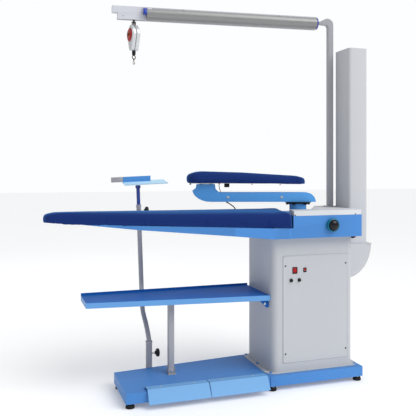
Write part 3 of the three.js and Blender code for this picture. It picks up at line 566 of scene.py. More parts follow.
def smooth_path(points: Sequence[Vector], spacing: float) -> list[Vector]:
    """A smooth curve through points, as evenly spaced points.

    Args:
        points: The points that it passes.
        spacing: The distance between the new points.

    Returns:
        The curve's points, from the first given point to the last.
    """
    dense: list[Vector] = []
    for i in range(len(points) - 1):
        before = points[max(i - 1, 0)]
        start, end = points[i], points[i + 1]
        after = points[min(i + 2, len(points) - 1)]
        for k in range(24):
            t = k / 24
            dense.append(0.5 * ((2 * start) + (end - before) * t + (2 * before - 5 * start + 4 * end - after) * t**2
                                + (3 * start - before - 3 * end + after) * t**3))
    dense.append(points[-1].copy())
    steps = [0.0]
    for a, b in zip(dense, dense[1:]):
        steps.append(steps[-1] + (b - a).length)
    count = max(2, round(steps[-1] / spacing) + 1)
    wanted = np.linspace(0.0, steps[-1], count)
    columns = [np.interp(wanted, steps, [p[axis] for p in dense]) for axis in range(3)]
    return [Vector(point) for point in zip(*columns)]


def tube(name: str, path: Sequence[Vector], radius: float, sides: int = 14, closed: bool = False,
         swell: Callable[[float], float] | None = None) -> bpy.types.Object:
    """A round tube along a line of points.

    Args:
        name: The piece's name.
        path: The points of its centreline.
        radius: Its radius.
        sides: Its number of faces round the line.
        closed: True for a ring.
        swell: A factor on the radius, from the share of the length.

    Returns:
        The new piece.
    """
    shaped = bmesh.new()
    count = len(path)
    rings = []
    normal = None
    for i, point in enumerate(path):
        before = path[(i - 1) % count] if closed or i else path[0]
        after = path[(i + 1) % count] if closed or i < count - 1 else path[-1]
        along = (after - before).normalized()
        if normal is None:
            normal = along.orthogonal().normalized()
        normal = (normal - along * normal.dot(along)).normalized()
        side = along.cross(normal)
        reach = radius * (swell(i / (count - 1)) if swell else 1.0)
        ring = []
        for k in range(sides):
            angle = 2 * math.pi * k / sides
            ring.append(shaped.verts.new(point + reach * (math.cos(angle) * normal + math.sin(angle) * side)))
        rings.append(ring)
    pairs = list(zip(rings, rings[1:])) + ([(rings[-1], rings[0])] if closed else [])
    for lower, upper in pairs:
        for k in range(sides):
            j = (k + 1) % sides
            shaped.faces.new([lower[k], lower[j], upper[j], upper[k]])
    if not closed:
        shaped.faces.new(rings[0])
        shaped.faces.new(list(reversed(rings[-1])))
    return piece_of(name, shaped)


def axes_at(origin: Sequence[float], along_x: Sequence[float] = (1, 0, 0), up: Sequence[float] = (0, 0, 1)) -> Matrix:
    """Local axes at a point.

    Args:
        origin: Where the local origin stands.
        along_x: The direction of local X.
        up: The direction of local Z.

    Returns:
        The matrix from local axes to the row frame.
    """
    z_axis = Vector(up).normalized()
    x_axis = Vector(along_x)
    x_axis = (x_axis - z_axis * x_axis.dot(z_axis)).normalized()
    y_axis = z_axis.cross(x_axis)
    matrix = Matrix((x_axis, y_axis, z_axis)).transposed().to_4x4()
    matrix.translation = Vector(origin)
    return matrix


def facing(origin: Sequence[float], direction: Sequence[float]) -> Matrix:
    """Local axes at a point whose Z points in a direction."""
    matrix = Vector((0, 0, 1)).rotation_difference(Vector(direction)).to_matrix().to_4x4()
    matrix.translation = Vector(origin)
    return matrix


class Head(Enum):
    """The kinds of screw and bolt head used on the machine."""

    PAN = "pan"
    HEX = "hex"
    RIVET = "rivet"


@cache
def head_mesh(kind: Head, radius: float) -> bpy.types.Mesh:
    """The mesh of one fastener's head on local Z, made once for each kind and size.

    Args:
        kind: The kind of head.
        radius: Its radius, or half its width across corners.

    Returns:
        The mesh.
    """
    rise = 0.62 * radius
    if kind is Head.HEX:
        wide, low, high = 1.3 * radius, -0.3 * radius, 0.06 * radius
        washer = [(0, low), (wide, low), (wide, high), (0, high)]
        head = turned("washer", washer, UNMOVED, 24)
        nut = turned("nut", [(0, 0), (radius, 0), (radius, rise), (0.86 * radius, rise * 1.15), (0, rise * 1.15)],
                     UNMOVED, 6)
        shaped = bmesh.new()
        for part in (head, nut):
            shaped.from_mesh(part.data)
            bpy.data.objects.remove(part)
        mesh = bpy.data.meshes.new("hex_bolt")
        shaped.to_mesh(mesh)
        shaped.free()
        smooth_by_angle(mesh)
        return mesh
    crown = [(radius * math.cos(a), rise * math.sin(a)) for a in np.linspace(0, math.pi / 2, 6)]
    profile = [(0.0, -0.3 * radius), (radius, -0.3 * radius), *crown[:-1], (0.0, rise)]
    head = turned("head", profile, UNMOVED, 24)
    if kind is Head.PAN:
        arm, width = 0.62 * radius, 0.15 * radius
        cutters = [
            brick("cut", (-a, -b, rise * 0.45), (a, b, rise * 2), UNMOVED, 0.0)
            for a, b in ((arm, width), (width, arm))
        ]
        for cutter in cutters:
            cut = head.modifiers.new("cut", "BOOLEAN")
            cut.operation, cut.solver, cut.object = "DIFFERENCE", "EXACT", cutter
        mesh = evaluated_mesh(head)
        for spare in (head, *cutters):
            bpy.data.objects.remove(spare)
        smooth_by_angle(mesh, 40.0)
        return mesh
    mesh = head.data
    bpy.data.objects.remove(head)
    return mesh


# ---------------------------------------------------------------- what every sub-assembly can do
class SubAssembly:
    """The steps that all sub-assemblies share: adding pieces and refining the frame's own nodes."""

    def build(self) -> None:
        """Makes and dresses the sub-assembly's pieces."""
        raise NotImplementedError

    def add(self, piece: bpy.types.Object, finish: Finish, body: str, *stands_for: str) -> bpy.types.Object:
        """Dresses a new piece and mounts it on a body.

        Args:
            piece: The new piece.
            finish: Its finish.
            body: The body that it moves with.
            stands_for: The frame's nodes that it takes the place of.

        Returns:
            The same piece.
        """
        dress(piece.data, finish)
        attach(piece, body)
        if stands_for:
            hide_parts(*stands_for)
        LOG.info("added %s on %s", piece.name, body)
        return piece

    def refine(self, finish: Finish, *nodes: str, bevel: float = 0.8 * MM, degrees: float = 34.0) -> None:
        """Gives the frame's nodes their finish and soft edges.

        Args:
            finish: The finish.
            nodes: The nodes' names.
            bevel: The width of their rounded edges.
            degrees: The angle from which an edge counts as sharp.
        """
        for name in nodes:
            node = frame["nodes"][name]
            mesh = node.data
            dress(mesh, finish)
            normals = mesh.attributes.get("custom_normal")
            if normals is not None:
                mesh.attributes.remove(normals)
            mesh.polygons.foreach_set("use_smooth", [True] * len(mesh.polygons))
            weld = node.modifiers.new("weld", "WELD")
            weld.merge_threshold = 0.01 * MM
            merge = node.modifiers.new("merge_flats", "DECIMATE")
            merge.decimate_type = "DISSOLVE"
            merge.angle_limit = math.radians(0.4)
            soften = node.modifiers.new("soft_edges", "BEVEL")
            soften.width = bevel
            soften.segments = 2
            soften.limit_method = "ANGLE"
            soften.angle_limit = math.radians(degrees)
            soften.harden_normals = True
            soften.miter_outer = "MITER_ARC"
            LOG.info("refined %s", name)

    def repaint(self, node: str, finish: Finish, rule: Callable[[Vector, Vector], bool]) -> None:
        """Gives some faces of a refined node a second finish.

        Args:
            node: The node's name.
            finish: The second finish.
            rule: Says from a face's middle and normal, in the row frame, whether it takes the second finish.
        """
        piece = frame["nodes"][node]
        piece.data.materials.append(finish.material())
        for polygon in piece.data.polygons:
            normal = piece.matrix_world.to_3x3() @ polygon.normal
            if rule(piece.matrix_world @ polygon.center, normal):
                polygon.material_index = 1

    def fasten(self, name: str, kind: Head, radius: float, finish: Finish, body: str,
               places: Iterable[tuple[Sequence[float], Sequence[float]]]) -> None:
        """Puts one head at each place.

        Args:
            name: The stem of the pieces' names.
            kind: The kind of head.
            radius: Its radius.
            finish: Its finish.
            body: The body that the fasteners move with.
            places: Pairs of a seat point and an outward direction.
        """
        for count, (seat, direction) in enumerate(places, 1):
            head = bpy.data.objects.new(f"{name}_{count}", head_mesh(kind, radius).copy())
            place_in_scene(head)
            turn = Quaternion(Vector(direction).normalized(), 0.7 * count)
            upright = turn.to_matrix().to_4x4() @ facing((0, 0, 0), direction)
            head.matrix_world = Matrix.Translation(Vector(seat)) @ upright
            bpy.context.view_layer.update()
            head.data.transform(head.matrix_world)
            head.matrix_world = Matrix.Identity(4)
            self.add(head, finish, body)


def dress(mesh: bpy.types.Mesh, finish: Finish) -> None:
    """Gives a mesh one finish."""
    mesh.materials.clear()
    mesh.materials.append(finish.material())


def joint(name: str) -> dict:
    """The frame's joint of that name."""
    return next(j for j in frame["joints"] if j["name"] == name)


# ---------------------------------------------------------------- camera, light and floor
@dataclass
class Studio:
    """A pale floor under soft studio light, with the camera at the height of a standing person's chest."""

    eye: Triple = (-1.058, -3.0127, 1.105)
    turn: float = math.radians(-18.636)
    lens: float = 52.64
    drop: float = -0.0877
    sun: float = 1.75
    key: float = 26.0
    fill: float = 8.0
    sky: float = 0.44
    backdrop: float = 1.0

    def build(self) -> None:
        """Makes the camera, the lights and the floor."""
        lens = bpy.data.cameras.new("camera")
        lens.lens, lens.sensor_width, lens.shift_y = self.lens, 36.0, self.drop
        camera = bpy.data.objects.new("camera", lens)
        camera.location = self.eye
        camera.rotation_euler = (math.pi / 2, 0.0, self.turn)
        place_in_scene(camera)
        bpy.context.scene.camera = camera
        self.light("key_softbox", (2.2, -3.6, 4.4), 2.6, self.key)
        self.light("fill_softbox", (-3.6, -2.6, 2.6), 3.0, self.fill)
        self.light("top_softbox", (0.2, 0.4, 5.0), 3.2, self.key)
        self.light("back_softbox", (-1.0, 4.4, 3.0), 3.0, self.fill)
        sun = bpy.data.lights.new("broad_daylight", "SUN")
        sun.energy, sun.angle = self.sun, math.radians(50)
        source = bpy.data.objects.new("broad_daylight", sun)
        source.rotation_euler = Vector((-0.50, 0.62, -0.80)).to_track_quat("-Z", "Y").to_euler()
        place_in_scene(source)
        self.surroundings()
        bpy.context.scene.view_settings.view_transform = "Standard"
        self.floor()

    def surroundings(self) -> None:
        """Fills the world with dim soft light behind which the camera sees a white backdrop."""
        world = bpy.data.worlds.new("studio_sky")
        world.use_nodes = True
        tree = world.node_tree
        seen = tree.nodes.new("ShaderNodeLightPath").outputs["Is Camera Ray"]
        level = tree.nodes.new("ShaderNodeMapRange")
        tree.links.new(seen, level.inputs["Value"])
        level.inputs["To Min"].default_value, level.inputs["To Max"].default_value = self.sky, self.backdrop
        sky = tree.nodes["Background"]
        sky.inputs["Color"].default_value = (0.98, 0.99, 1.0, 1.0)
        tree.links.new(level.outputs["Result"], sky.inputs["Strength"])
        bpy.context.scene.world = world

    def light(self, name: str, place: Triple, size: float, power: float) -> None:
        """Adds a square soft light that faces the machine.

        Args:
            name: The light's name.
            place: Where it hangs.
            size: Its side.
            power: Its power in watts.
        """
        lamp = bpy.data.lights.new(name, "AREA")
        lamp.size, lamp.energy = size, power
        box = bpy.data.objects.new(name, lamp)
        box.location = place
        box.rotation_euler = (Vector((0.0, 0.0, 0.9)) - Vector(place)).to_track_quat("-Z", "Y").to_euler()
        place_in_scene(box)

    def floor(self) -> None:
        """Lays the pale floor."""
        half, thick = 30.0, 0.05
        plane = brick("floor", (-half, -half, -thick), (half, half, 0.0), UNMOVED, 0.0)
        graph = Graph("pale_floor")
        tone = graph.mix(graph.noise(3.0, 3.0), (0.90, 0.905, 0.91), (0.93, 0.932, 0.935))
        graph.set(Base_Color=tone, Roughness=0.6, Emission_Color=(1.0, 1.0, 1.0), Emission_Strength=0.2)
        plane.data.materials.append(graph.material)


# ---------------------------------------------------------------- heater lead
@dataclass
class HeaterLead(SubAssembly):
    """The sheathed lead that feeds the sleeve board's heating element."""

    radius: float = 3.2 * MM
    route: tuple[Triple, ...] = (
        (0.0825, 0.0558, 0.939), (0.0985, 0.0748, 0.935), (0.1305, 0.1098, 0.921), (0.1605, 0.1428, 0.905),
        (0.1765, 0.1598, 0.885), (0.1825, 0.1638, 0.860), (0.1855, 0.1638, 0.832), (0.1855, 0.1548, 0.808),
        (0.1855, 0.1428, 0.797),
    )
    arm_end: Triple = (0.0985, 0.0748, 0.935)
    table_end: Triple = (0.1605, 0.1428, 0.905)

    def build(self) -> None:
        """Runs the lead from the arm to the table body, and fits a bush where it enters the table body."""
        path = smooth_path([Vector(point) for point in self.route], 4 * MM)
        lead = tube("sleeve_heater_lead", path, self.radius, 12)
        dress(lead.data, LEAD)
        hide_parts("heater_lead")
        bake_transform(lead)
        LOG.info("added %s across the arm's swivel", lead.name)
        bush = [(0.0, 0.0), (5.5 * MM, 0.0), (7.5 * MM, 1.5 * MM), (7.5 * MM, 3 * MM), (0.0, 3 * MM)]
        self.add(turned("lead_bush_table", bush, facing(self.route[-1], (0, 1, 0.3)), 20), RUBBER, "frame")


# ---------------------------------------------------------------- base, feet and pedals
@dataclass
class Base(SubAssembly):
    """The footboard and plinth pans on rubber feet."""

    rubber_top: float = 19.4 * MM
    foot_top: float = 25.1 * MM

    def build(self) -> None:
        """Makes the feet and the bolts, and refines the pans."""
        self.refine(FRAME_BLUE, "footboard", "cabinet_plinth", bevel=1.6 * MM)
        for count in range(1, 7):
            self.foot(f"foot_{count}")
        low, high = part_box("cabinet_plinth")
        flange = 3.3 * MM
        seats = [(low.x + 0.022, high.y - 0.018), (low.x + 0.020, -0.014), (low.x + 0.024, low.y + 0.049),
                 (high.x - 0.022, low.y + 0.049), (high.x - 0.020, high.y - 0.024)]
        places = [((x, y, high.z + flange), UPWARDS) for x, y in seats]
        self.fasten("plinth_bolt", Head.HEX, 6.4 * MM, FRAME_BLUE, "frame", places)

    def foot(self, node: str) -> None:
        """Turns one rubber foot with its steel washer and bolt.

        Args:
            node: The frame's node that it takes the place of.
        """
        low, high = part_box(node)
        centre = ((low.x + high.x) / 2, (low.y + high.y) / 2, low.z)
        radius = (high.x - low.x) / 2
        crown = self.rubber_top
        rubber = [(0, 0), (radius - 4 * MM, 0), (radius - 1.2 * MM, 1.2 * MM), (radius, 4 * MM),
                  (radius - 0.8 * MM, 8 * MM), (radius - 1.8 * MM, 9 * MM), (radius - 1.4 * MM, 10.2 * MM),
                  (radius - 3 * MM, 17.5 * MM), (radius - 5 * MM, crown), (0, crown)]
        self.add(turned(f"rubber_{node}", rubber, axes_at(centre), 40), RUBBER, "frame", node)
        steel = [(0, crown), (14 * MM, crown), (14 * MM, crown + 2 * MM), (9 * MM, crown + 2.1 * MM),
                 (9 * MM, self.foot_top), (0, self.foot_top)]
        self.add(turned(f"washer_{node}", steel, axes_at(centre), 24), STEEL, "frame")


@dataclass
class Pedals(SubAssembly):
    """The two foot pedals on their hinge rod, with the screws along their rear flange."""

    screw_inset: float = 70 * MM
    screw_back: float = 64 * MM

    def build(self) -> None:
        """Refines the pedals and sets their screws."""
        self.refine(PEDAL_BLUE, "vacuum_pedal", "blow_pedal", bevel=0.7 * MM)
        self.refine(STEEL, "pedal_rod", bevel=0.3 * MM)
        self.refine(BLACK, "vacuum_switch", "blow_switch", bevel=0.6 * MM)
        for pedal in ("vacuum_pedal", "blow_pedal"):
            low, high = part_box(pedal)
            rear = low.y + self.screw_back
            ends = (low.x + self.screw_inset, high.x - self.screw_inset)
            seats = [((x, rear, high.z - 0.4 * MM), UPWARDS) for x in ends]
            self.fasten(f"{pedal}_screw", Head.PAN, 4.2 * MM, STEEL, pedal, seats)


# ---------------------------------------------------------------- cabinet, controls and exhaust
@dataclass
class Cabinet(SubAssembly):
    """The cabinet's shell and door, its fan unit and its controls."""

    screw_edge: float = 13 * MM

    def build(self) -> None:
        """Refines the shell, the door and the fan unit, and adds the door's screws, rims and controls."""
        self.refine(CABINET_GREY, "cabinet_shell", "door_panel", bevel=1.0 * MM)
        self.refine(CABINET_GREY, "blower_housing", "suction_duct", "blower_deck")
        self.refine(ROD_BLUE, "motor")
        self.refine(STEEL, "impeller", bevel=0.5 * MM)
        low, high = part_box("door_panel")
        heights = (low.z + 44 * MM, high.z - 50 * MM)
        edges = (low.x + self.screw_edge, high.x - self.screw_edge)
        seats = [((x, low.y, z), FORWARDS) for z in heights for x in edges]
        self.fasten("door_screw", Head.PAN, 4.4 * MM, DARK_STEEL, "frame", seats)
        self.controls()
        self.door_rims(low, high)

    def door_rims(self, low: Vector, high: Vector) -> None:
        """Lays a narrow raised rim along each edge of the door.

        Args:
            low: The door's lowest corner.
            high: The door's highest corner.
        """
        lip, proud = 3.2 * MM, 1.1 * MM
        face = axes_at((0, low.y, 0), (1, 0, 0), FORWARDS)
        spans = {"left": (low.x, low.x + lip, low.z, high.z), "right": (high.x - lip, high.x, low.z, high.z),
                 "top": (low.x, high.x, high.z - lip, high.z), "bottom": (low.x, high.x, low.z, low.z + lip)}
        for side, (x0, x1, z0, z1) in spans.items():
            rim = brick(f"door_lip_{side}", (x0, z0, -0.5 * MM), (x1, z1, proud), face, 0.4 * MM)
            self.add(rim, CABINET_GREY, "frame")

    def controls(self) -> None:
        """Refines the rocker switches and fuse caps, and puts a collar behind each cap."""
        self.refine(GLOSS_BLACK, "main_switch_frame", "heater_switch_frame", bevel=0.7 * MM)
        self.refine(ROCKER_RED, "main_rocker", "heater_rocker", bevel=0.6 * MM)
        self.refine(BLACK, "fuse_cap_left", "fuse_cap_right", bevel=0.5 * MM)
        for cap in ("fuse_cap_left", "fuse_cap_right"):
            low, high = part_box(cap)
            centre = ((low.x + high.x) / 2, low.y, (low.z + high.z) / 2)
            radius = (high.x - low.x) / 2
            bore, flange = radius * 0.99, radius + 1.6 * MM
            collar = [(bore, -9 * MM), (flange, -9 * MM), (flange, -7.6 * MM), (radius * 1.03, -6.8 * MM),
                      (bore, -9 * MM)]
            seat = turned(f"{cap}_collar", collar, facing(centre, FORWARDS), 32)
            self.add(seat, BLACK, "frame")


@dataclass
class Exhaust(SubAssembly):
    """The elbow on the cabinet's side and the tall stack that stands in it."""

    rivet_inset: float = 22 * MM

    def build(self) -> None:
        """Refines the elbow and stack, and adds the seam at the back and the rivets at the foot."""
        self.refine(STACK_GREY, "exhaust_elbow", "exhaust_stack", bevel=1.0 * MM)
        low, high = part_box("exhaust_stack")
        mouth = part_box("exhaust_elbow")[1].z
        seam = brick("stack_seam", (low.x + 0.046, -0.2 * MM, mouth + 0.002), (low.x + 0.060, 0.9 * MM, high.z - 0.002),
                     axes_at((0, high.y, 0)), 0.4 * MM)
        self.add(seam, STACK_GREY, "frame")
        sides = (low.x + self.rivet_inset, high.x - self.rivet_inset)
        seats = [((x, y, mouth + 0.018), way) for y, way in ((low.y, FORWARDS), (high.y, (0, 1, 0))) for x in sides]
        self.fasten("stack_rivet", Head.RIVET, 2.6 * MM, STEEL, "frame", seats)


# ---------------------------------------------------------------- table body, cover and regulator
@dataclass
class Table(SubAssembly):
    """The folded vacuum box, its perforated grid, the white cover plate and the suction regulator."""

    ring_outer: float = 34 * MM
    ring_inner: float = 28.2 * MM
    ring_depth: float = 21 * MM
    screw_proud: float = 0.2 * MM
    gore_start: tuple[float, ...] = (0.0405, -0.1777, -0.1765, 0.7801, 0.8230)
    gore_end: tuple[float, ...] = (0.2262, -0.2337, -0.2222, 0.7652, 0.8182)

    def build(self) -> None:
        """Refines the sheet metal, and adds the regulator's ring and the cover's screws."""
        self.refine(FRAME_BLUE, "table_body", bevel=1.4 * MM)
        self.refine(STEEL, "vacuum_grid", bevel=0.3 * MM)
        self.refine(COVER_WHITE, "top_cover", bevel=1.6 * MM)
        self.regulator()
        self.front_gore()
        low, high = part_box("top_cover")
        front, side = low.y - self.screw_proud, high.x + self.screw_proud
        seats = [((x, front, low.z + 3.4 * MM), FORWARDS) for x in (low.x + 6 * MM, high.x - 37 * MM)]
        seats += [((side, y, low.z + 9 * MM), (1, 0, 0)) for y in (low.y + 60 * MM, high.y - 60 * MM)]
        self.fasten("cover_screw", Head.PAN, 3.0 * MM, DARK_STEEL, "frame", seats)
        self.connector()

    def front_gore(self) -> None:
        """Fairs the body's tapering front wall into its straight front panel."""
        shaped = bmesh.new()
        corners = []
        for x, front, back, low, high in (self.gore_start, self.gore_end):
            section = ((x, front, low), (x, front, high), (x, back, high), (x, back, low))
            corners.append([shaped.verts.new(corner) for corner in section])
        for i in range(4):
            j = (i + 1) % 4
            shaped.faces.new([corners[0][i], corners[0][j], corners[1][j], corners[1][i]])
        shaped.faces.new(corners[0])
        shaped.faces.new(corners[1][::-1])
        self.add(piece_of("body_front_gore", shaped), FRAME_BLUE, "frame")

    def regulator(self) -> None:
        """Turns the domed knob with its grip flutes, and the teal ring behind it."""
        low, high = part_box("regulator_knob")
        radius = (high.x - low.x) / 2
        length, shoulder = 36.5 * MM, 20.5 * MM
        crown = length - shoulder
        centre = ((low.x + high.x) / 2, low.y + length, (low.z + high.z) / 2)
        out = facing(centre, FORWARDS)
        skirt = [(0, 0.6 * MM), (12 * MM, 0.6 * MM), (12 * MM, 5 * MM), (22 * MM, 7 * MM), (radius * 0.93, 10 * MM),
                 (radius * 0.965, 14 * MM), (radius, 17.5 * MM), (radius, shoulder)]
        dome = [(radius * math.cos(a), shoulder + crown * math.sin(a)) for a in np.linspace(0.2, 1.45, 9)]
        flutes = 28

        def grip(angle: float, reach: float) -> float:
            """Shallow flutes on the widest stretch only."""
            return 1.0 - 0.022 * max(0.0, math.cos(flutes * angle)) * (reach > radius * 0.96)

        knob = turned("regulator_dome", [*skirt, *dome, (0, length)], out, 6 * flutes, grip)
        self.add(knob, GLOSS_BLACK, "regulator_knob", "regulator_knob")
        inner, outer, depth = self.ring_inner, self.ring_outer, self.ring_depth
        ring = [(inner, 0.2 * MM), (outer, 0.2 * MM), (outer, depth - 4 * MM), (outer - 1 * MM, depth - 1 * MM),
                (outer - 3 * MM, depth), (inner + 1 * MM, depth - 1 * MM), (inner, depth - 3 * MM), (inner, 0.2 * MM)]
        self.add(turned("regulator_ring", ring, out, 64), TEAL, "frame")

    def connector(self) -> None:
        """Hangs the small two-part connector under the body's right end."""
        low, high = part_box("table_body")
        corner = axes_at((high.x - 39 * MM, low.y + 40 * MM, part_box("cabinet_shell")[1].z - 0.5 * MM))
        socket = brick("connector_socket", (0, 0, -13 * MM), (14 * MM, 14 * MM, 0), corner, 1.2 * MM)
        self.add(socket, BLACK, "frame")
        plug = brick("connector_plug", (14.2 * MM, 2 * MM, -10 * MM), (24 * MM, 12 * MM, -2 * MM), corner, 1.4 * MM)
        self.add(plug, RED, "frame")


# ---------------------------------------------------------------- padded boards
class Outline:
    """The convex plan outline of a padded board, for distances measured inwards from its edge."""

    def __init__(self, points: np.ndarray) -> None:
        """Takes the hull of a cloud of plan points, anticlockwise."""
        places = np.unique(np.round(points, 5), axis=0)
        ring = places[geometry.convex_hull_2d([tuple(place) for place in places])]
        area = np.sum(ring[:, 0] * np.roll(ring[:, 1], -1) - np.roll(ring[:, 0], -1) * ring[:, 1])
        self.ring = ring if area > 0 else ring[::-1]

    def measure(self, places: np.ndarray) -> tuple[np.ndarray, np.ndarray, np.ndarray]:
        """Measures plan places against the outline.

        Args:
            places: Plan places, one on each row.

        Returns:
            How far each place is inside the edge, how far along the edge its nearest point is, and the
            plan direction straight inwards from there.
        """
        start = self.ring
        edge = np.roll(start, -1, axis=0) - start
        length = np.linalg.norm(edge, axis=1)
        unit = edge / length[:, None]
        before = np.concatenate([[0.0], np.cumsum(length)[:-1]])
        offset = places[:, None, :] - start[None]
        along = np.clip(np.einsum("nek,ek->ne", offset, unit), 0.0, length)
        away = np.linalg.norm(offset - along[..., None] * unit, axis=2)
        nearest = away.argmin(axis=1)
        rows = np.arange(len(places))
        inwards = np.stack([-unit[:, 1], unit[:, 0]], axis=1)
        sign = np.where(np.einsum("nek,ek->ne", offset, inwards).min(axis=1) >= 0, 1.0, -1.0)
        return away[rows, nearest] * sign, (before + along)[rows, nearest], inwards[nearest]


def points_of(mesh: bpy.types.Mesh) -> tuple[np.ndarray, np.ndarray]:
    """The places and the normals of a mesh's points, one on each row."""
    return np.array([v.co for v in mesh.vertices]), np.array([v.normal for v in mesh.vertices])


@dataclass
class PaddedBoard(SubAssembly):
    """A board padded with foam under a tight cover, blown up by cloth simulation and tucked under its edge."""

    name: str
    node: str
    body: str
    cloth: Weave
    voxel: float
    seed: float
    top_round: float = 21 * MM
    hem_round: float = 9 * MM
    start_inset: float = 1.5 * MM
    most_swell: float = 5 * MM
    frames: int = 20
    droop: Pair = (14 * MM, 5 * MM)
    droop_at: Pair = (-0.78, -0.36)
    tuck: float = 16 * MM
    wall: float = 0.036
    sag: float = 3.0 * MM
    gather: float = 0.9 * MM
    gather_pitch: float = 26 * MM
    ties: tuple[float, ...] = ()
    tie_depth: float = 5 * MM

    def build(self) -> None:
        """Makes the pad from its solid, inflates it and wrinkles its cover."""
        solid = frame["nodes"][self.node]
        piece = bpy.data.objects.new(self.name, solid.data.copy())
        place_in_scene(piece)
        outline = Outline(points_of(solid.data)[0][:, :2])
        self.remesh(piece)
        self.round_off(piece, outline)
        self.inflate(piece)
        self.wrinkle(piece, outline)
        for polygon in piece.data.polygons:
            polygon.use_smooth = True
        finer = piece.modifiers.new("finer", "SUBSURF")
        finer.levels = finer.render_levels = 1
        self.add(piece, self.cloth, self.body, self.node)

    def remesh(self, piece: bpy.types.Object) -> None:
        """Turns the plain solid into even small quads."""
        weld = piece.modifiers.new("weld", "WELD")
        weld.merge_threshold = 0.01 * MM
        even = piece.modifiers.new("even", "REMESH")
        even.mode, even.voxel_size = "VOXEL", self.voxel
        self.bake(piece)

    def bake(self, piece: bpy.types.Object) -> None:
        """Applies every modifier of a piece."""
        mesh = evaluated_mesh(piece)
        piece.modifiers.clear()
        piece.data = mesh

    def round_off(self, piece: bpy.types.Object, outline: Outline) -> None:
        """Rounds the pad's edges, as foam does under a tight cover.

        Args:
            piece: The pad.
            outline: Its plan outline.
        """
        places, _ = points_of(piece.data)
        inside, _, inwards = outline.measure(places[:, :2])
        top, floor = self.heights(places, np.max), self.heights(places, np.min)
        for level, side, radius, fall in ((top, 1.0, self.top_round, 0.6), (floor, -1.0, self.hem_round, 0.36)):
            squash = radius / (fall * (top - floor))
            across, down = radius - inside, radius - side * (level - places[:, 2]) * squash
            reach = np.hypot(across, down)
            beyond = (across > 0) & (down > 0) & (reach > radius)
            shrink = np.where(beyond, 1.0 - radius / np.maximum(reach, 1e-9), 0.0)
            places[:, :2] += inwards * (across * shrink)[:, None]
            places[:, 2] -= side * down * shrink / squash
        piece.data.vertices.foreach_set("co", places.ravel())
        shaped = bmesh.new()
        shaped.from_mesh(piece.data)
        for _ in range(3):
            bmesh.ops.smooth_vert(shaped, verts=shaped.verts, factor=0.5, use_axis_x=True, use_axis_y=True,
                                  use_axis_z=True)
        shaped.normal_update()
        for vertex in shaped.verts:
            vertex.co -= vertex.normal * self.start_inset
        shaped.to_mesh(piece.data)
        shaped.free()

    def heights(self, places: np.ndarray, pick: Callable[[np.ndarray], float]) -> np.ndarray:
        """The pad's upper or lower face beside each point, from the strip across the board that it lies in.

        Args:
            places: The pad's points.
            pick: np.max for the upper face and np.min for the lower.

        Returns:
            The face's height at each point.
        """
        count = 40
        strips = np.linspace(places[:, 0].min(), places[:, 0].max(), count + 1)
        index = np.clip(np.digitize(places[:, 0], strips) - 1, 0, count - 1)
        levels = [pick(places[index == i, 2]) if (index == i).any() else np.nan for i in range(count)]
        centres = (strips[:-1] + strips[1:]) / 2
        known = ~np.isnan(levels)
        return np.interp(places[:, 0], centres[known], np.array(levels)[known])

    def inflate(self, piece: bpy.types.Object) -> None:
        """Blows the cover up under pressure, its underside held by the board, and caps how far it moves."""
        rest, normals = points_of(piece.data)
        held = piece.vertex_groups.new(name="held")
        held.add([int(i) for i in np.nonzero(normals[:, 2] < -0.6)[0]], 1.0, "REPLACE")
        cloth = piece.modifiers.new("cover", "CLOTH")
        settings = cloth.settings
        settings.quality = 5
        settings.mass = 0.25
        settings.use_pressure = True
        settings.uniform_pressure_force = 4.0
        settings.tension_stiffness = settings.compression_stiffness = 8.0
        settings.bending_stiffness = 0.4
        settings.effector_weights.gravity = 0.0
        settings.vertex_group_mass = held.name
        cloth.collision_settings.use_collision = False
        scene = bpy.context.scene
        cloth.point_cache.frame_start, cloth.point_cache.frame_end = 1, self.frames
        for step in range(1, self.frames + 1):
            scene.frame_set(step)
        evaluated = piece.evaluated_get(bpy.context.evaluated_depsgraph_get())
        moved, _ = points_of(evaluated.data)
        piece.modifiers.clear()
        scene.frame_set(1)
        shift = moved - rest
        LOG.info("%s: swelled %.1f mm on average", piece.name, 1000 * np.linalg.norm(shift, axis=1).mean())
        reach = np.linalg.norm(shift, axis=1, keepdims=True)
        shift *= np.minimum(1.0, self.most_swell / np.maximum(reach, 1e-9))
        piece.data.vertices.foreach_set("co", (rest + shift).ravel())
        piece.vertex_groups.clear()
        piece.data.update()

    def wrinkle(self, piece: bpy.types.Object, outline: Outline) -> None:
        """Adds the cover's soft sags, the pull of its ties, the gathers at its hem and the hem's droop.

        Args:
            piece: The pad.
            outline: Its plan outline.
        """
        mesh = piece.data
        places, normals = points_of(mesh)
        inside, along, _ = outline.measure(places[:, :2])
        side = np.clip(1.0 - np.abs(normals[:, 2]), 0.0, 1.0)
        rise = np.clip((places[:, 2] - self.heights(places, np.min)) / self.wall, 0.0, 1.0)
        soft = np.array([
            noise.noise(Vector((s * 7.0, z * 16.0, self.seed)))
            + 0.5 * noise.noise(Vector((s * 19.0, z * 30.0, self.seed)))
            for s, z in zip(along, places[:, 2])
        ])
        broad = np.array([noise.noise(Vector((x * 6.0, y * 9.0, self.seed + 4.0))) for x, y, _ in places])
        jitter = np.array([noise.noise(Vector((s * 11.0, 3.0, self.seed))) for s in along])
        folds = np.sin(2 * math.pi * along / self.gather_pitch + 5.0 * jitter)
        push = self.sag * soft * side * (1.15 - rise * 0.6) + self.gather * folds * (1.0 - rise) ** 1.5 * side
        push += 0.5 * MM * broad * (1.0 - side)
        for tie in self.ties:
            pull = np.exp(-(((places[:, 0] - tie + 0.006 * jitter) / 0.011) ** 2))
            push -= self.tie_depth * pull * side * (1.0 - 0.75 * rise)
        places += normals * push[:, None]
        deep, shallow = self.droop_at
        share = np.clip((places[:, 0] - shallow) / (deep - shallow), 0.0, 1.0)
        depth = self.droop[1] + (self.droop[0] - self.droop[1]) * share * share * (3 - 2 * share)
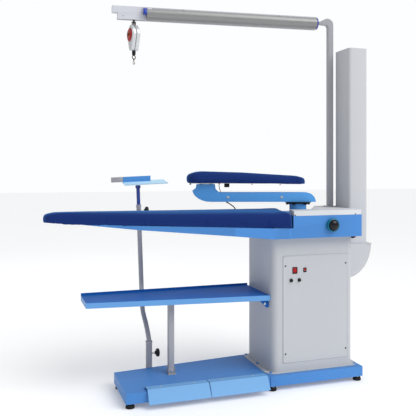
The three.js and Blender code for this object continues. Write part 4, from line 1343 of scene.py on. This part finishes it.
        under = np.clip(1.6 * (1.0 - inside / self.tuck), 0.0, 1.0) * (1.0 - rise) ** 1.6
        places[:, 2] -= depth * under * (1.0 + 0.25 * jitter)
        mesh.vertices.foreach_set("co", places.ravel())
        mesh.update()
        LOG.info("%s: %d points", piece.name, len(places))


# ---------------------------------------------------------------- shelf
@dataclass
class Shelf(SubAssembly):
    """The laundry shelf on its square post and gusset."""

    cheek: float = 2.2 * MM
    gusset_holes: tuple[Pair, ...] = ((0.020, 0.020), (0.022, 0.044))

    def build(self) -> None:
        """Refines the shelf, post and gusset, and adds the foot bracket and the bolts."""
        self.refine(SHELF_BLUE, "shelf", "shelf_bracket")
        # The shelf's front and left faces take the lighter copy of its paint: painted light.
        self.repaint("shelf", SHELF_LIP_LIT_BLUE, lambda middle, normal: min(normal.x, normal.y) < -0.5 and middle.y < 0.1)
        self.refine(POST_GREY, "shelf_post", bevel=0.6 * MM)
        low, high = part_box("shelf_post")
        centre = Vector(((low.x + high.x) / 2, (low.y + high.y) / 2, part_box("cabinet_plinth")[1].z))
        at_foot = axes_at(centre)
        half = (high.x - low.x) / 2 + 0.3 * MM
        wide, splay, floor = half + self.cheek, half + 6 * MM, 0.2 * MM
        plates = {
            "post_cheek_left": ((-wide, -splay, floor), (-half, half, 34 * MM), 0.6 * MM),
            "post_cheek_right": ((half, -splay, floor), (wide, half, 34 * MM), 0.6 * MM),
            "post_front_plate": ((-wide, -wide, floor), (wide, -half, 30 * MM), 0.6 * MM),
            "post_toe_plate": ((-splay, -half - 16 * MM, floor), (splay, -wide, 2.6 * MM), 0.8 * MM),
        }
        for name, (start, end, bevel) in plates.items():
            self.add(brick(name, start, end, at_foot, bevel), POST_GREY, "frame")
        seat = centre + Vector((0, -wide, 15 * MM))
        self.fasten("post_bolt", Head.HEX, 6.2 * MM, STEEL, "frame", [(seat, FORWARDS)])
        low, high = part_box("shelf_bracket")
        holes = [((high.x - x, low.y, high.z - z), FORWARDS) for x, z in self.gusset_holes]
        self.fasten("gusset_bolt", Head.HEX, 4.6 * MM, STEEL, "frame", holes)


# ---------------------------------------------------------------- swing arm
@dataclass
class SwingArm(SubAssembly):
    """The pedestal with its swivel bearing, the hollow arm and what hangs under the sleeve board."""

    half_width: float = 35 * MM
    screw_along: Pair = (0.091, 0.376)
    screw_level: float = 0.968
    tie_places: tuple[Triple, ...] = ((0.100, 0.046, 1.0325), (0.250, 0.054, 1.0355), (0.424, 0.063, 1.0385))

    def build(self) -> None:
        """Makes the bearing and fittings, and refines the arm."""
        turn = joint("arm_swivel")["pos_m"]
        head = joint("sleeve_swivel")["pos_m"]
        self.along = Vector((head[0] - turn[0], head[1] - turn[1], 0.0)).normalized()
        self.local = axes_at((turn[0], turn[1], 0.0), self.along)
        self.refine(ARM_LIT_BLUE, "sleeve_arm", bevel=1.6 * MM)
        self.refine(STEEL, "arm_pin", "sleeve_spindle", "sleeve_frame", bevel=0.5 * MM)
        self.pedestal()
        self.fittings()

    def pedestal(self) -> None:
        """Turns the blue pedestal and the dark flange bearing on top of it."""
        low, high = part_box("arm_pedestal")
        foot = self.local @ Matrix.Translation((0, 0, low.z))
        rise = high.z - low.z
        bore, reach, outer, seam = 13 * MM, 45 * MM, 70 * MM, rise - 11 * MM
        column = [(bore, 0), (reach + 7 * MM, 0), (reach + 7 * MM, 2.5 * MM), (reach + 1 * MM, 4 * MM), (reach, 6 * MM),
                  (reach, rise - 17 * MM), (reach + 5 * MM, rise - 15 * MM), (reach + 5 * MM, seam), (bore, seam),
                  (bore, 0)]
        self.add(turned("arm_pedestal_tube", column, foot, 56), ARM_LIT_BLUE, "frame", "arm_pedestal")
        flange = [(bore, seam), (54 * MM, seam), (58 * MM, rise - 9.5 * MM), (66 * MM, rise - 5.5 * MM),
                  (outer, rise - 4 * MM), (outer, rise - 0.6 * MM), (bore, rise - 0.6 * MM), (bore, seam)]

        def teeth(angle: float, radius: float) -> float:
            """Blunt index teeth round the widest part."""
            return 1.0 - 0.05 * (math.cos(30 * angle) > 0.1) * (radius > 60 * MM)

        self.add(turned("swivel_bearing", flange, foot, 240, teeth), DARK_STEEL, "frame")
        circle = 58 * MM
        bolts = []
        for angle in np.linspace(0.0, 2 * math.pi, 7)[:-1]:
            seat = foot @ Vector((circle * math.cos(angle), circle * math.sin(angle), seam))
            bolts.append((seat, (0, 0, -1)))
        self.fasten("bearing_bolt", Head.HEX, 6.5 * MM, DARK_STEEL, "frame", bolts)

    def fittings(self) -> None:
        """Adds the side screws, the heater's terminal block and jumper lead, the drawcord ties and the toggle."""
        seats = []
        for x in self.screw_along:
            for sign in (-1, 1):
                seat = self.local @ Vector((x, sign * self.half_width, self.screw_level))
                direction = self.local.to_3x3() @ Vector((0, sign, 0))
                seats.append((seat, direction))
        self.fasten("arm_side_screw", Head.HEX, 5.4 * MM, STEEL, "arm", seats)
        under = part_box("sleeve_frame")[0].z
        start, end = (0.368, -12 * MM, under - 21 * MM), (0.396, 12 * MM, under - 0.2 * MM)
        self.add(brick("terminal_block", start, end, self.local, 1.6 * MM), BLACK, "sleeve_board")
        self.jumper(under)
        for count, (x, y, z) in enumerate(self.tie_places, 1):
            start, end = (x - 4 * MM, y - 3 * MM, z), (x + 4 * MM, y + 3 * MM, z + 4 * MM)
            self.add(brick(f"drawcord_tie_{count}", start, end, self.local, 1.2 * MM), RED, "sleeve_board")
        toggle = [(0, 0), (5 * MM, 0), (5 * MM, 5 * MM), (3 * MM, 7 * MM), (0, 7 * MM)]
        where = self.local @ Matrix.Translation((0.578, 0.0, under - 7.2 * MM))
        self.add(turned("hem_toggle", toggle, where, 20), BLACK, "sleeve_board")

    def jumper(self, under: float) -> None:
        """Runs the short lead from the sleeve board into the arm.

        Args:
            under: The height of the sleeve board's underside.
        """
        points = ((0.421, 10 * MM, under - 0.5 * MM), (0.424, 11 * MM, under - 10 * MM), (0.422, 12 * MM, 1.018),
                  (0.416, 12 * MM, 0.9945))
        path = smooth_path([self.local @ Vector(point) for point in points], 2.5 * MM)
        jumper = tube("heater_jumper", path, 2.0 * MM, 10)
        dress(jumper.data, LEAD)
        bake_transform(jumper)


# ---------------------------------------------------------------- iron rest
@dataclass
class IronRest(SubAssembly):
    """The bent stand in its socket, the height rod with its clamping knobs, and the iron tray."""

    upstand_level: float = 1.054

    def build(self) -> None:
        """Makes the knobs and the collar, and refines the tubes and the tray."""
        self.refine(POST_GREY, "stand_socket", "stand_tube", bevel=0.7 * MM)
        self.refine(ROD_BLUE, "rest_rod", bevel=0.8 * MM)
        self.refine(TRAY_BLUE, "iron_tray", bevel=0.6 * MM)
        # The upstand's upright faces take the darker copy of the tray paint: painted shade.
        self.repaint("iron_tray", UPSTAND_SHADED_BLUE,
                     lambda middle, normal: middle.z > self.upstand_level and abs(normal.y) > 0.5)
        self.refine(POST_GREY, "tray_bar", bevel=1.0 * MM)
        self.knob("lower_knob")
        self.knob("upper_knob")
        low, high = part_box("stand_tube")
        rod_low, rod_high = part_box("rest_rod")
        lean = Vector(joint("rest_height")["axis"])
        top = (rod_low.x + 10 * MM, (rod_low.y + rod_high.y) / 2, rod_high.z)
        bore, outer = 10.4 * MM, 14 * MM
        collar = [(bore, -16 * MM), (12.5 * MM, -16 * MM), (outer, -14 * MM), (outer, -3 * MM), (12.5 * MM, -1 * MM),
                  (bore, -1 * MM), (bore, -16 * MM)]
        self.add(turned("rod_collar", collar, facing(top, lean), 32), ROD_BLUE, "iron_rest")
        mouth = (low.x + 12.5 * MM, high.y - 12.5 * MM, high.z)
        bore, outer = 10.6 * MM, 14.2 * MM
        band = [(bore, -14 * MM), (outer, -14 * MM), (outer, 0.4 * MM), (bore, 0.4 * MM), (bore, -14 * MM)]
        self.add(turned("stand_mouth_ring", band, facing(mouth, lean), 32), POST_GREY, "stand")
        low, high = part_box("stand_socket")
        centre = ((low.x + high.x) / 2, high.y - 16.5 * MM, high.z)
        bore, outer = 13.4 * MM, 18.2 * MM
        rim = [(bore, -6 * MM), (outer, -6 * MM), (outer, -1 * MM), (17.2 * MM, 0), (bore, 0), (bore, -6 * MM)]
        self.add(turned("socket_rim", rim, axes_at(centre), 36), POST_GREY, "frame")

    def knob(self, node: str) -> None:
        """Turns a fluted clamping knob on its steel screw.

        Args:
            node: The frame's node that it takes the place of, and the body of the same name.
        """
        low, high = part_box(node)
        out = facing((low.x, (low.y + high.y) / 2, (low.z + high.z) / 2), (1, 0, 0))
        reach = (high.z - low.z) / 2
        length = high.x - low.x
        profile = [(0, 0.36 * length), (8 * MM, 0.36 * length), (9 * MM, 0.5 * length), (0.86 * reach, 0.56 * length),
                   (reach, 0.66 * length), (reach, 0.84 * length), (0.9 * reach, 0.95 * length), (0.5 * reach, length),
                   (0, length)]

        def lobes(angle: float, radius: float) -> float:
            """Ten soft lobes on the wide stretch."""
            return 1.0 - 0.045 * (1 - math.cos(10 * angle)) * (radius > 0.7 * reach)

        self.add(turned(f"{node}_grip", profile, out, 80, lobes), BLACK, node, node)
        screw = [(0, 0.2 * MM), (3.6 * MM, 0.2 * MM), (4 * MM, 0.8 * MM), (4 * MM, 0.38 * length), (0, 0.38 * length)]
        self.add(turned(f"{node}_screw", screw, out, 20), STEEL, node)


# ---------------------------------------------------------------- gantry, lamp and balancer
@dataclass
class Gantry(SubAssembly):
    """The bent post, the rail with its end stop, and the lamp on the rail's front."""

    hang: float = 1.1145
    lamp_span: Pair = (0.095, 1.049)
    lamp_level: float = 1.938
    lamp_radius: float = 32 * MM
    rail_half: float = 17 * MM
    clips: Pair = (0.30, 0.84)
    post_screw: float = 0.78
    stop_screw: Triple = (1.172, 17 * MM, 1.925)

    def build(self) -> None:
        """Makes the lamp's parts and refines the post and rail."""
        swing = joint("balancer_swing")
        self.along = Vector(swing["axis"]).normalized()
        origin = Vector(swing["pos_m"]) - self.along * self.hang
        self.local = axes_at((origin.x, origin.y, 0.0), self.along)
        self.refine(POST_GREY, "gantry_post", bevel=1.8 * MM)
        self.refine(RAIL_GREY, "light_rail", bevel=0.8 * MM)
        self.refine(LAMP_SILVER, "lamp_cover", bevel=0.4 * MM, degrees=50)
        self.lamp()
        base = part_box("top_cover")[1].z
        top = base + 3.2 * MM
        plate = brick("post_foot_plate", (-30 * MM, -26 * MM, base + 0.1 * MM), (30 * MM, 26 * MM, top), self.local,
                      0.9 * MM)
        self.add(plate, POST_GREY, "frame")
        corners = [(self.local @ Vector((x, y, top)), UPWARDS)
                   for x in (-23 * MM, 23 * MM) for y in (-20 * MM, 20 * MM)]
        self.fasten("post_foot_bolt", Head.HEX, 4.6 * MM, STEEL, "frame", corners)
        front = self.local.to_3x3() @ Vector((0, 1, 0))
        post = self.local @ Vector((0, 15 * MM, base + self.post_screw))
        stop = self.local @ Vector(self.stop_screw)
        self.fasten("post_screw", Head.PAN, 3.4 * MM, STEEL, "frame", [(post, front)])
        self.fasten("rail_stop_screw", Head.PAN, 3.6 * MM, STEEL, "frame", [(stop, front)])

    def half_round(self, reach: float, low: float = -90.0, steps: int = 20) -> list[Pair]:
        """A half-round outline on the rail's front.

        Args:
            reach: Its radius.
            low: The angle in degrees at which it starts; -90 is its lowest point.
            steps: Its number of faces.

        Returns:
            Pairs of distance from the rail's middle and height.
        """
        seat = self.rail_half + 0.4 * MM
        angles = np.linspace(math.radians(low), math.pi / 2, steps + 1)
        arc = [(seat + reach * math.cos(a), self.lamp_level + reach * math.sin(a)) for a in angles]
        return arc if low <= -90 else [(seat, arc[0][1]), *arc]

    def lamp(self) -> None:
        """Makes the two blue end caps, their bright tips, the latch and the clips."""
        on_edge = self.local @ ON_EDGE
        start, end = self.lamp_span
        left_tip, right_tip = end + 19 * MM, start - 7 * MM
        ends = {"left": (end + 0.3 * MM, left_tip, -10.0), "right": (right_tip, start - 0.3 * MM, -90.0)}
        for side, (x0, x1, cut) in ends.items():
            outline = self.half_round(self.lamp_radius + 1 * MM, low=cut)
            self.add(slab(f"lamp_cap_{side}", outline, x0, x1, on_edge, 1.2 * MM), CAP_BLUE, "frame")
        knob = [(0, 0), (7.25 * MM, 0), (7.5 * MM, 0.5 * MM), (7.5 * MM, 3 * MM), (6 * MM, 4 * MM), (0, 4 * MM)]
        for side, x, way in (("left", left_tip, 1), ("right", right_tip, -1)):
            where = self.local @ Vector((x, self.rail_half + 15 * MM, self.lamp_level + 12 * MM))
            self.add(turned(f"lamp_holder_{side}", knob, facing(where, self.along * way), 24), STEEL, "frame")
        seat = self.local @ Vector((end - 14 * MM, self.rail_half + 22 * MM, self.lamp_level + 23 * MM))
        latch = facing(seat, self.local.to_3x3() @ Vector((0, 0.7, 0.75)))
        block = brick("lamp_latch", (-11 * MM, -4 * MM, -2 * MM), (11 * MM, 4 * MM, 3.4 * MM), latch, 1.2 * MM)
        self.add(block, STEEL, "frame")
        back, front = self.rail_half + 0.2 * MM, self.rail_half + 12 * MM
        crown = self.lamp_level + 33.5 * MM
        clip = [(back, crown - 2.5 * MM), (front, crown - 2 * MM), (front, crown), (back, crown)]
        for count, x in enumerate(self.clips, 1):
            self.add(slab(f"lamp_clip_{count}", clip, x, x + 16 * MM, on_edge, 0.5 * MM), STEEL, "frame")


@dataclass
class Balancer(SubAssembly):
    """The spring balancer that carries the iron: its casting, drum disc, trolley and snap hook."""

    half: float = 21 * MM

    def build(self) -> None:
        """Makes the casting, the disc's hub and the hook, and refines what stays."""
        disc = joint("tension_disc_turn")
        along = Vector(disc["axis"]).normalized()
        self.centre = Vector(disc["pos_m"])
        self.local = axes_at((self.centre.x, self.centre.y, 0.0), along)
        self.along = along
        self.refine(BLACK, "trolley", bevel=0.8 * MM)
        self.refine(BRONZE, "shackle", bevel=0.7 * MM)
        self.refine(RUBBER, "cable_stop", bevel=1.0 * MM)
        self.refine(RED, "tension_disc", bevel=0.8 * MM)
        self.casting()
        self.disc_hub()
        self.cable()
        self.hook()

    def casting(self) -> None:
        """Casts the teardrop housing with a joint line, a rim round the disc and its screws."""
        low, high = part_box("balancer_body")
        level = self.centre.z
        reach = 44 * MM
        on_edge = self.local @ ON_EDGE
        angles = np.linspace(math.radians(122), math.radians(198), 14)
        left = [(reach * math.cos(a), level + reach * math.sin(a)) for a in angles]
        left = [(-9 * MM, high.z), *left, (-19 * MM, low.z + 12 * MM), (-14 * MM, low.z)]
        outline = [(9 * MM, high.z), *left, *[(-y, z) for y, z in reversed(left[1:])]]
        for side, (x0, x1) in {"front": (0.2 * MM, self.half), "back": (-self.half, -0.2 * MM)}.items():
            stands = ("balancer_body",) if side == "front" else ()
            half = slab(f"balancer_half_{side}", outline, x0, x1, on_edge, 4.5 * MM, 4)
            self.add(half, CASTING, "balancer", *stands)
        inner = [(y * 0.965, level + (z - level) * 0.965) for y, z in outline]
        self.add(slab("balancer_gasket", inner, -0.6 * MM, 0.6 * MM, on_edge, 0.0), DARK_STEEL, "balancer")
        face = facing(self.centre + self.along * self.half, self.along)
        bore = 35.6 * MM
        rim = [(bore, -3 * MM), (40 * MM, -3 * MM), (39.4 * MM, 1.6 * MM), (37.5 * MM, 2.6 * MM), (bore, 1.6 * MM),
               (bore, -3 * MM)]
        self.add(turned("balancer_rim", rim, face, 64), CASTING, "balancer")
        seats = []
        for y, z in ((0.0, 44.5 * MM), (-13 * MM, -62 * MM), (13 * MM, -62 * MM)):
            seats.append((self.local @ Vector((self.half - 0.5 * MM, y, level + z)), self.along))
        self.fasten("balancer_screw", Head.PAN, 2.8 * MM, STEEL, "balancer", seats)
        guide = [(3.2 * MM, -4 * MM), (8 * MM, -4 * MM), (9 * MM, 0.5 * MM), (5 * MM, 2 * MM), (3.2 * MM, -4 * MM)]
        below = (self.centre.x, self.centre.y, low.z)
        self.add(turned("cable_guide", guide, facing(below, UPWARDS), 24), BLACK, "balancer")

    def disc_hub(self) -> None:
        """Adds the brass washer and the black hexagonal adjuster on the red disc."""
        face = facing(self.centre + self.along * (self.half + 0.3 * MM), self.along)
        washer = [(0, 6 * MM), (14 * MM, 6 * MM), (14 * MM, 8 * MM), (12 * MM, 8.6 * MM), (0, 8.6 * MM)]
        self.add(turned("disc_washer", washer, face, 36), BRASS, "tension_disc")
        adjuster = [(0, 8 * MM), (8.5 * MM, 8 * MM), (8.5 * MM, 13.4 * MM), (7.2 * MM, 14.6 * MM), (0, 14.6 * MM)]
        self.add(turned("disc_adjuster", adjuster, face, 6), BLACK, "tension_disc")

    def cable(self) -> None:
        """Draws the wire rope that pays out of the casting as the hook is pulled down."""
        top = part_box("balancer_cable")[1].z
        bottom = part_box("cable_stop")[1].z - 6 * MM
        path = [Vector((self.centre.x, self.centre.y, z)) for z in np.linspace(top, bottom, 17)]
        rope = tube("balancer_rope", path, 1.2 * MM, 10)
        dress(rope.data, STEEL)
        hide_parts("balancer_cable")
        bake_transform(rope)
        LOG.info("added %s from the casting to the hook", rope.name)

    def hook(self) -> None:
        """Bends the eye, the swivel and the snap hook under the cable's rubber stop."""
        low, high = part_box("hook")
        x, y = (low.x + high.x) / 2, (low.y + high.y) / 2
        across = self.along

        def ring(level: float, wide: float, tall: float, steps: int = 28) -> list[Vector]:
            """Points of an upright oval about the cable's line."""
            return [Vector((x, y, level)) + across * (wide * math.cos(a)) + Vector((0, 0, tall * math.sin(a)))
                    for a in np.linspace(0, 2 * math.pi, steps + 1)[:-1]]

        eye_level = high.z - 11.4 * MM
        self.add(tube("hook_eye", ring(eye_level, 9 * MM, 9 * MM), 2.3 * MM, 12, closed=True), BRONZE, "hook", "hook")
        barrel_top = eye_level - 9.5 * MM
        barrel = [(0, 0), (3.4 * MM, 0), (4.2 * MM, -1.5 * MM), (4.2 * MM, -5 * MM), (2.4 * MM, -6.5 * MM),
                  (2.0 * MM, -12 * MM), (0, -12 * MM)]
        self.add(turned("hook_barrel", barrel[::-1], axes_at((x, y, barrel_top)), 24), BRONZE, "hook")
        stem_end = barrel_top - 11 * MM
        room = stem_end - low.z
        snap_level = low.z + room / 2
        tall = room / 2 - 1.5 * MM
        snap = [Vector((x, y, snap_level)) + across * (4.6 * MM * math.sin(a)) + Vector((0, 0, tall * math.cos(a)))
                for a in np.linspace(0.0, math.radians(318), 26)]
        self.add(tube("snap_hook", snap, 1.5 * MM, 10), BRONZE, "hook")
        gate = [snap[-1], snap[-1].lerp(snap[3], 0.5), snap[2]]
        self.add(tube("snap_gate", gate, 1.0 * MM, 8), STEEL, "hook")


# ---------------------------------------------------------------- assembly
def main() -> None:
    """Builds the studio and every sub-assembly in order."""
    logging.basicConfig(level=logging.INFO, format="%(levelname)s %(message)s")
    Studio().build()
    assemblies: list[SubAssembly] = [
        HeaterLead(),
        Base(),
        Pedals(),
        Cabinet(),
        Exhaust(),
        Table(),
        Shelf(),
        SwingArm(),
        IronRest(),
        Gantry(),
        Balancer(),
        PaddedBoard("padded_board", "board_pad", "frame", PAD_CLOTH, voxel=7.5 * MM, seed=1.7,
                    ties=(-0.586, -0.367, -0.105, 0.199)),
        PaddedBoard("padded_sleeve_board", "sleeve_pad", "sleeve_board", SLEEVE_CLOTH, voxel=5.5 * MM, seed=8.3,
                    hem_round=12 * MM, sag=1.0 * MM, gather=0.6 * MM, gather_pitch=20 * MM, most_swell=4 * MM,
                    droop=(12 * MM, 5 * MM), droop_at=(0.46, -0.10)),
    ]
    for assembly in assemblies:
        LOG.info("building %s", type(assembly).__name__)
        assembly.build()


if __name__ == "__main__":
    main()
